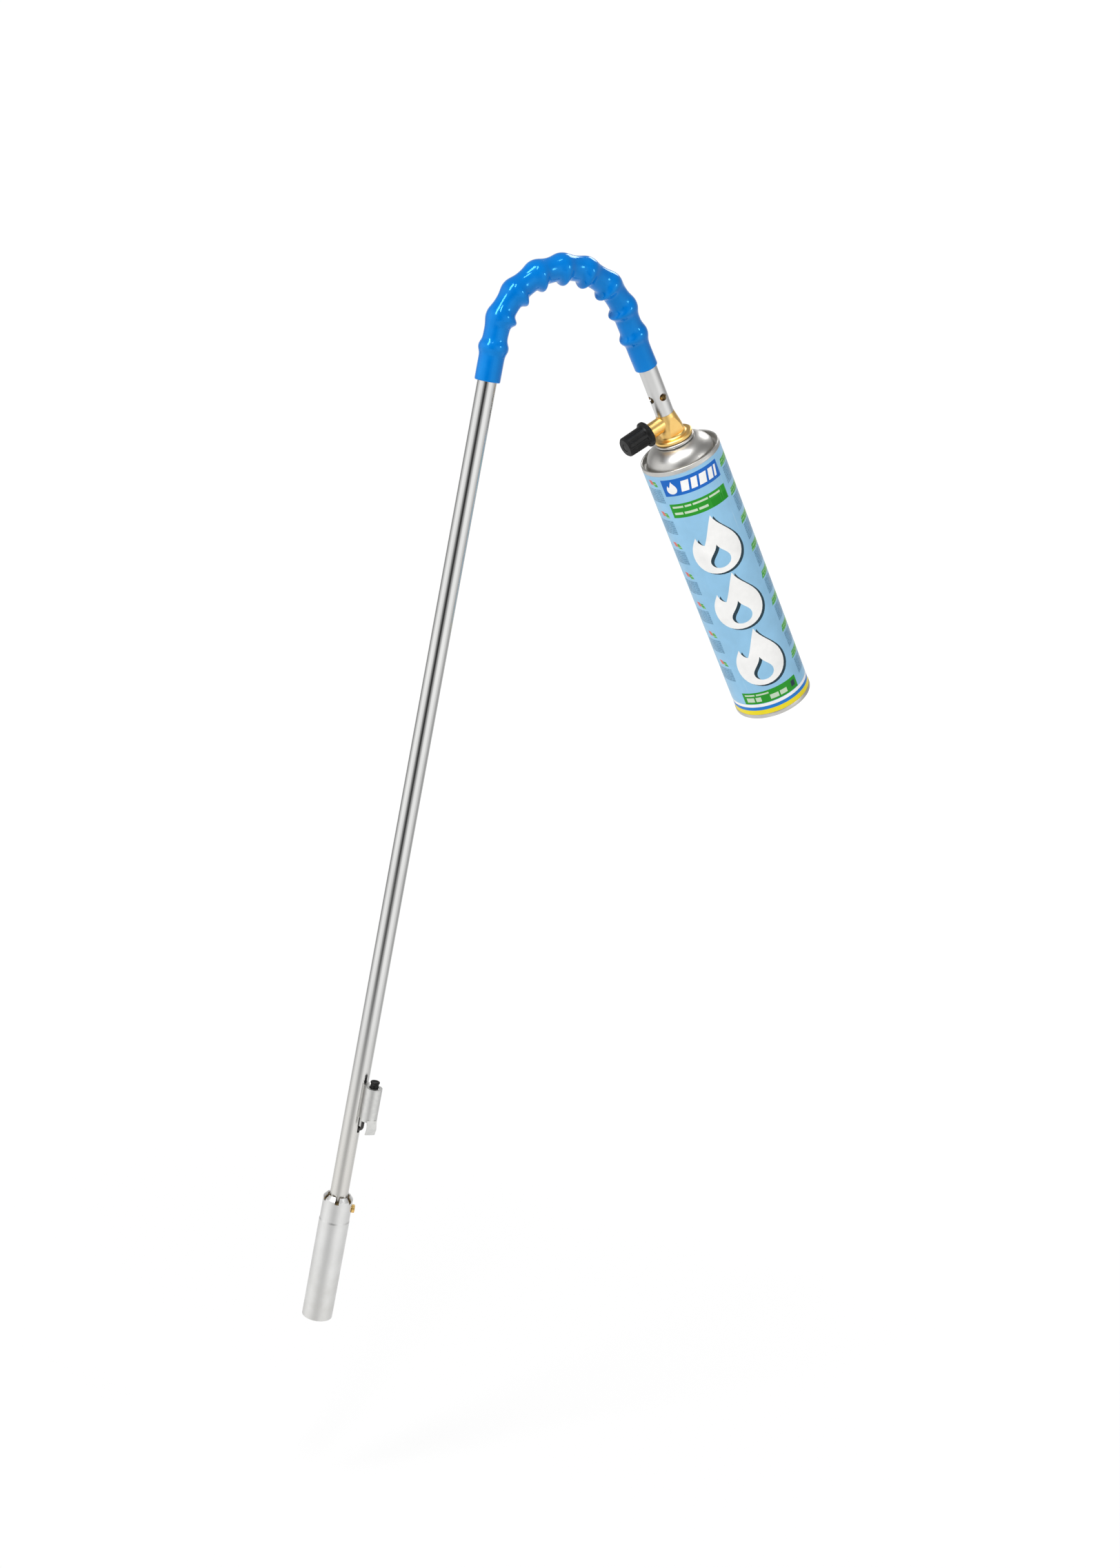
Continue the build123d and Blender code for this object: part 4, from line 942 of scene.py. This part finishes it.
def studio_walls():
    """The white studio that the metal mirrors: a dark gap behind the camera between two bright walls."""
    world = bpy.data.worlds.new("studio")
    world.use_nodes = True
    bpy.context.scene.world = world
    nodes, links = world.node_tree.nodes, world.node_tree.links
    backdrop = nodes["Background"]
    place = nodes.new("ShaderNodeTexCoord")
    turned_place = nodes.new("ShaderNodeMapping")
    turned_place.inputs["Rotation"].default_value = (0, 0, -VIEW_AZIMUTH)
    links.new(place.outputs["Generated"], turned_place.inputs["Vector"])
    parts = nodes.new("ShaderNodeSeparateXYZ")
    links.new(turned_place.outputs["Vector"], parts.inputs[0])

    def maths(operation, first, second=0.0, third=0.0):
        node = nodes.new("ShaderNodeMath")
        node.operation = operation
        for value, socket in zip((first, second, third), node.inputs):
            if isinstance(value, bpy.types.NodeSocket):
                links.new(value, socket)
            else:
                socket.default_value = value
        return node.outputs["Value"]

    # 0.5 is towards the camera, 0.75 is to the picture's right, and 0 and 1 lie behind the torch.
    heading = maths("ARCTAN2", parts.outputs["X"], maths("MULTIPLY", parts.outputs["Y"], -1.0))
    share = maths("MULTIPLY_ADD", heading, 1 / (2 * math.pi), 0.5)
    walls = nodes.new("ShaderNodeValToRGB")
    walls.color_ramp.interpolation = "EASE"
    stops = (
        (0.00, 0.78), (0.10, 0.62), (0.15, 0.22), (0.20, 0.70), (0.30, 1.20), (0.38, 1.00),
        (0.44, 0.30), (0.475, 0.03), (0.50, 0.04), (0.545, 0.45), (0.60, 1.10), (0.66, 1.15),
        (0.74, 0.80), (0.80, 0.50), (0.87, 0.42), (0.93, 0.80), (1.00, 0.78),
    )
    ramp = walls.color_ramp.elements
    while len(ramp) < len(stops):
        ramp.new(0.5)
    for element, (position, level) in zip(ramp, stops):
        element.position = position
        element.color = (level, level, level, 1.0)
    links.new(share, walls.inputs["Fac"])

    # The floor and the ceiling are even, and the dark gap is only between them.
    low = nodes.new("ShaderNodeMapRange")
    low.interpolation_type = "SMOOTHSTEP"
    links.new(parts.outputs["Z"], low.inputs["Value"])
    for socket, number in zip(("From Min", "From Max", "To Min", "To Max"), (-0.28, -0.46, 0.0, 1.0)):
        low.inputs[socket].default_value = number
    high = nodes.new("ShaderNodeMapRange")
    high.interpolation_type = "SMOOTHSTEP"
    links.new(parts.outputs["Z"], high.inputs["Value"])
    for socket, number in zip(("From Min", "From Max", "To Min", "To Max"), (0.10, 0.75, 0.0, 1.0)):
        high.inputs[socket].default_value = number

    def towards(share_socket, colour_socket, level):
        node = nodes.new("ShaderNodeMix")
        node.data_type = "RGBA"
        links.new(share_socket, node.inputs[0])
        links.new(colour_socket, node.inputs[6])
        node.inputs[7].default_value = (level, level, level, 1.0)
        return node.outputs[2]

    room = towards(low.outputs["Result"], walls.outputs["Color"], 0.92)
    room = towards(high.outputs["Result"], room, 0.22)
    rays = nodes.new("ShaderNodeLightPath")
    seen = nodes.new("ShaderNodeMix")
    seen.data_type = "RGBA"
    links.new(rays.outputs["Is Camera Ray"], seen.inputs[0])
    links.new(room, seen.inputs[6])
    seen.inputs[7].default_value = (1.02, 1.02, 1.02, 1.0)
    links.new(seen.outputs[2], backdrop.inputs["Color"])
    backdrop.inputs["Strength"].default_value = 1.0


def softbox(name, heading, height, distance, width, tall, power):
    """An area light aimed at the grip; heading is in degrees to the picture's right of the camera."""
    angle = VIEW_AZIMUTH + math.radians(heading)
    rise = math.radians(height)
    back = Vector((math.sin(angle) * math.cos(rise), -math.cos(angle) * math.cos(rise), math.sin(rise)))
    data = bpy.data.lights.new(name, "AREA")
    data.shape = "RECTANGLE"
    data.size, data.size_y = width, tall
    data.energy = power
    lamp = bpy.data.objects.new(name, data)
    bpy.context.scene.collection.objects.link(lamp)
    lamp.location = Vector((0.12, 0, -0.12)) + back * distance
    lamp.rotation_mode = "QUATERNION"
    lamp.rotation_quaternion = back.to_track_quat("Z", "Y")
    return lamp


camera()
studio_floor()
studio_walls()
softbox("key_light", -44, 40, 1.7, 0.30, 1.20, 17.0)
softbox("strip_light", -16, 56, 1.6, 0.14, 0.60, 5.0)
softbox("fill_light", 58, 28, 1.8, 0.35, 0.35, 4.0)
softbox("back_light", 165, 45, 1.8, 0.60, 0.60, 6.0)
bpy.context.scene.view_settings.view_transform = "Standard"

# ------------------------------------------------------------------ finishes on the CAD nodes
finishes = {
    "polished_stainless": polished_stainless(),
    "burner_steel": burner_steel(),
    "sheet_steel": sheet_steel(),
    "blue_vinyl": blue_vinyl(),
    "brass": brass(),
    "black_plastic": black_plastic(),
    "can_print": printed("print_base", (0.290, 0.555, 0.785)),
    "tinplate": tinplate(),
    "spring_steel": wire("spring_steel", (0.62, 0.62, 0.63), (0.45, 0.45, 0.46), 0.28),
    "seal_rubber": matte("seal_rubber", (0.012, 0.012, 0.012), (0.03, 0.03, 0.03), 0.55, 1500.0, 0.03),
    "lead_silicone": matte("lead_silicone", (0.030, 0.027, 0.026), (0.06, 0.055, 0.052), 0.42, 900.0, 0.03),
    "ceramic": matte("ceramic", (0.80, 0.76, 0.66), (0.88, 0.86, 0.80), 0.18, 1200.0, 0.02, Coat_Weight=0.6),
    "electrode_wire": wire("electrode_wire", (0.50, 0.48, 0.46), (0.30, 0.28, 0.27), 0.45),
}
slot_of = {row["node"]: row["material_slot"] for row in frame["record"]["subparts"]}
for node, piece in frame["nodes"].items():
    for material_slot in piece.material_slots:
        material_slot.material = finishes[slot_of[node]]

# ------------------------------------------------------------------ pieces that replace plain CAD solids
on_body(vinyl_sleeve(finishes["blue_vinyl"]), "torch", "blue_vinyl", "grip_sleeve")
button_spring = on_body(spring(finishes["spring_steel"]), "torch", "spring_steel", "button_spring")
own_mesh(button_spring)
on_body(dome_shell(finishes["tinplate"]), "cartridge", "tinplate", "can_dome")
on_body(cup_shell(finishes["tinplate"]), "cartridge", "tinplate", "valve_cup")
on_body(base_shell(finishes["tinplate"]), "cartridge", "tinplate", "can_base")
inks = {
    "base": finishes["can_print"],
    "blue": printed("print_blue", (0.000, 0.125, 0.530)),
    "azure": printed("print_azure", (0.004, 0.190, 0.620)),
    "green": printed("print_green", (0.012, 0.300, 0.012)),
    "deep_green": printed("print_deep_green", (0.002, 0.260, 0.003)),
    "pale": printed("print_pale", (0.560, 0.700, 0.520)),
    "white": printed("print_white", (0.930, 0.925, 0.910)),
    "shadow": printed("print_shadow", (0.012, 0.040, 0.060)),
    "tag": printed("print_tag", (0.045, 0.360, 0.050), (0.30, 0.58, 0.24), 2.6),
    "panel": printed("print_panel", (0.195, 0.415, 0.610), (0.085, 0.215, 0.360), 1.9),
    "yellow": printed("print_yellow", (0.880, 0.720, 0.010)),
    "red": printed("print_red", (0.700, 0.130, 0.110)),
    "bare": finishes["tinplate"],
}
on_body(printed_can(inks), "cartridge", "can_print", "can_body")
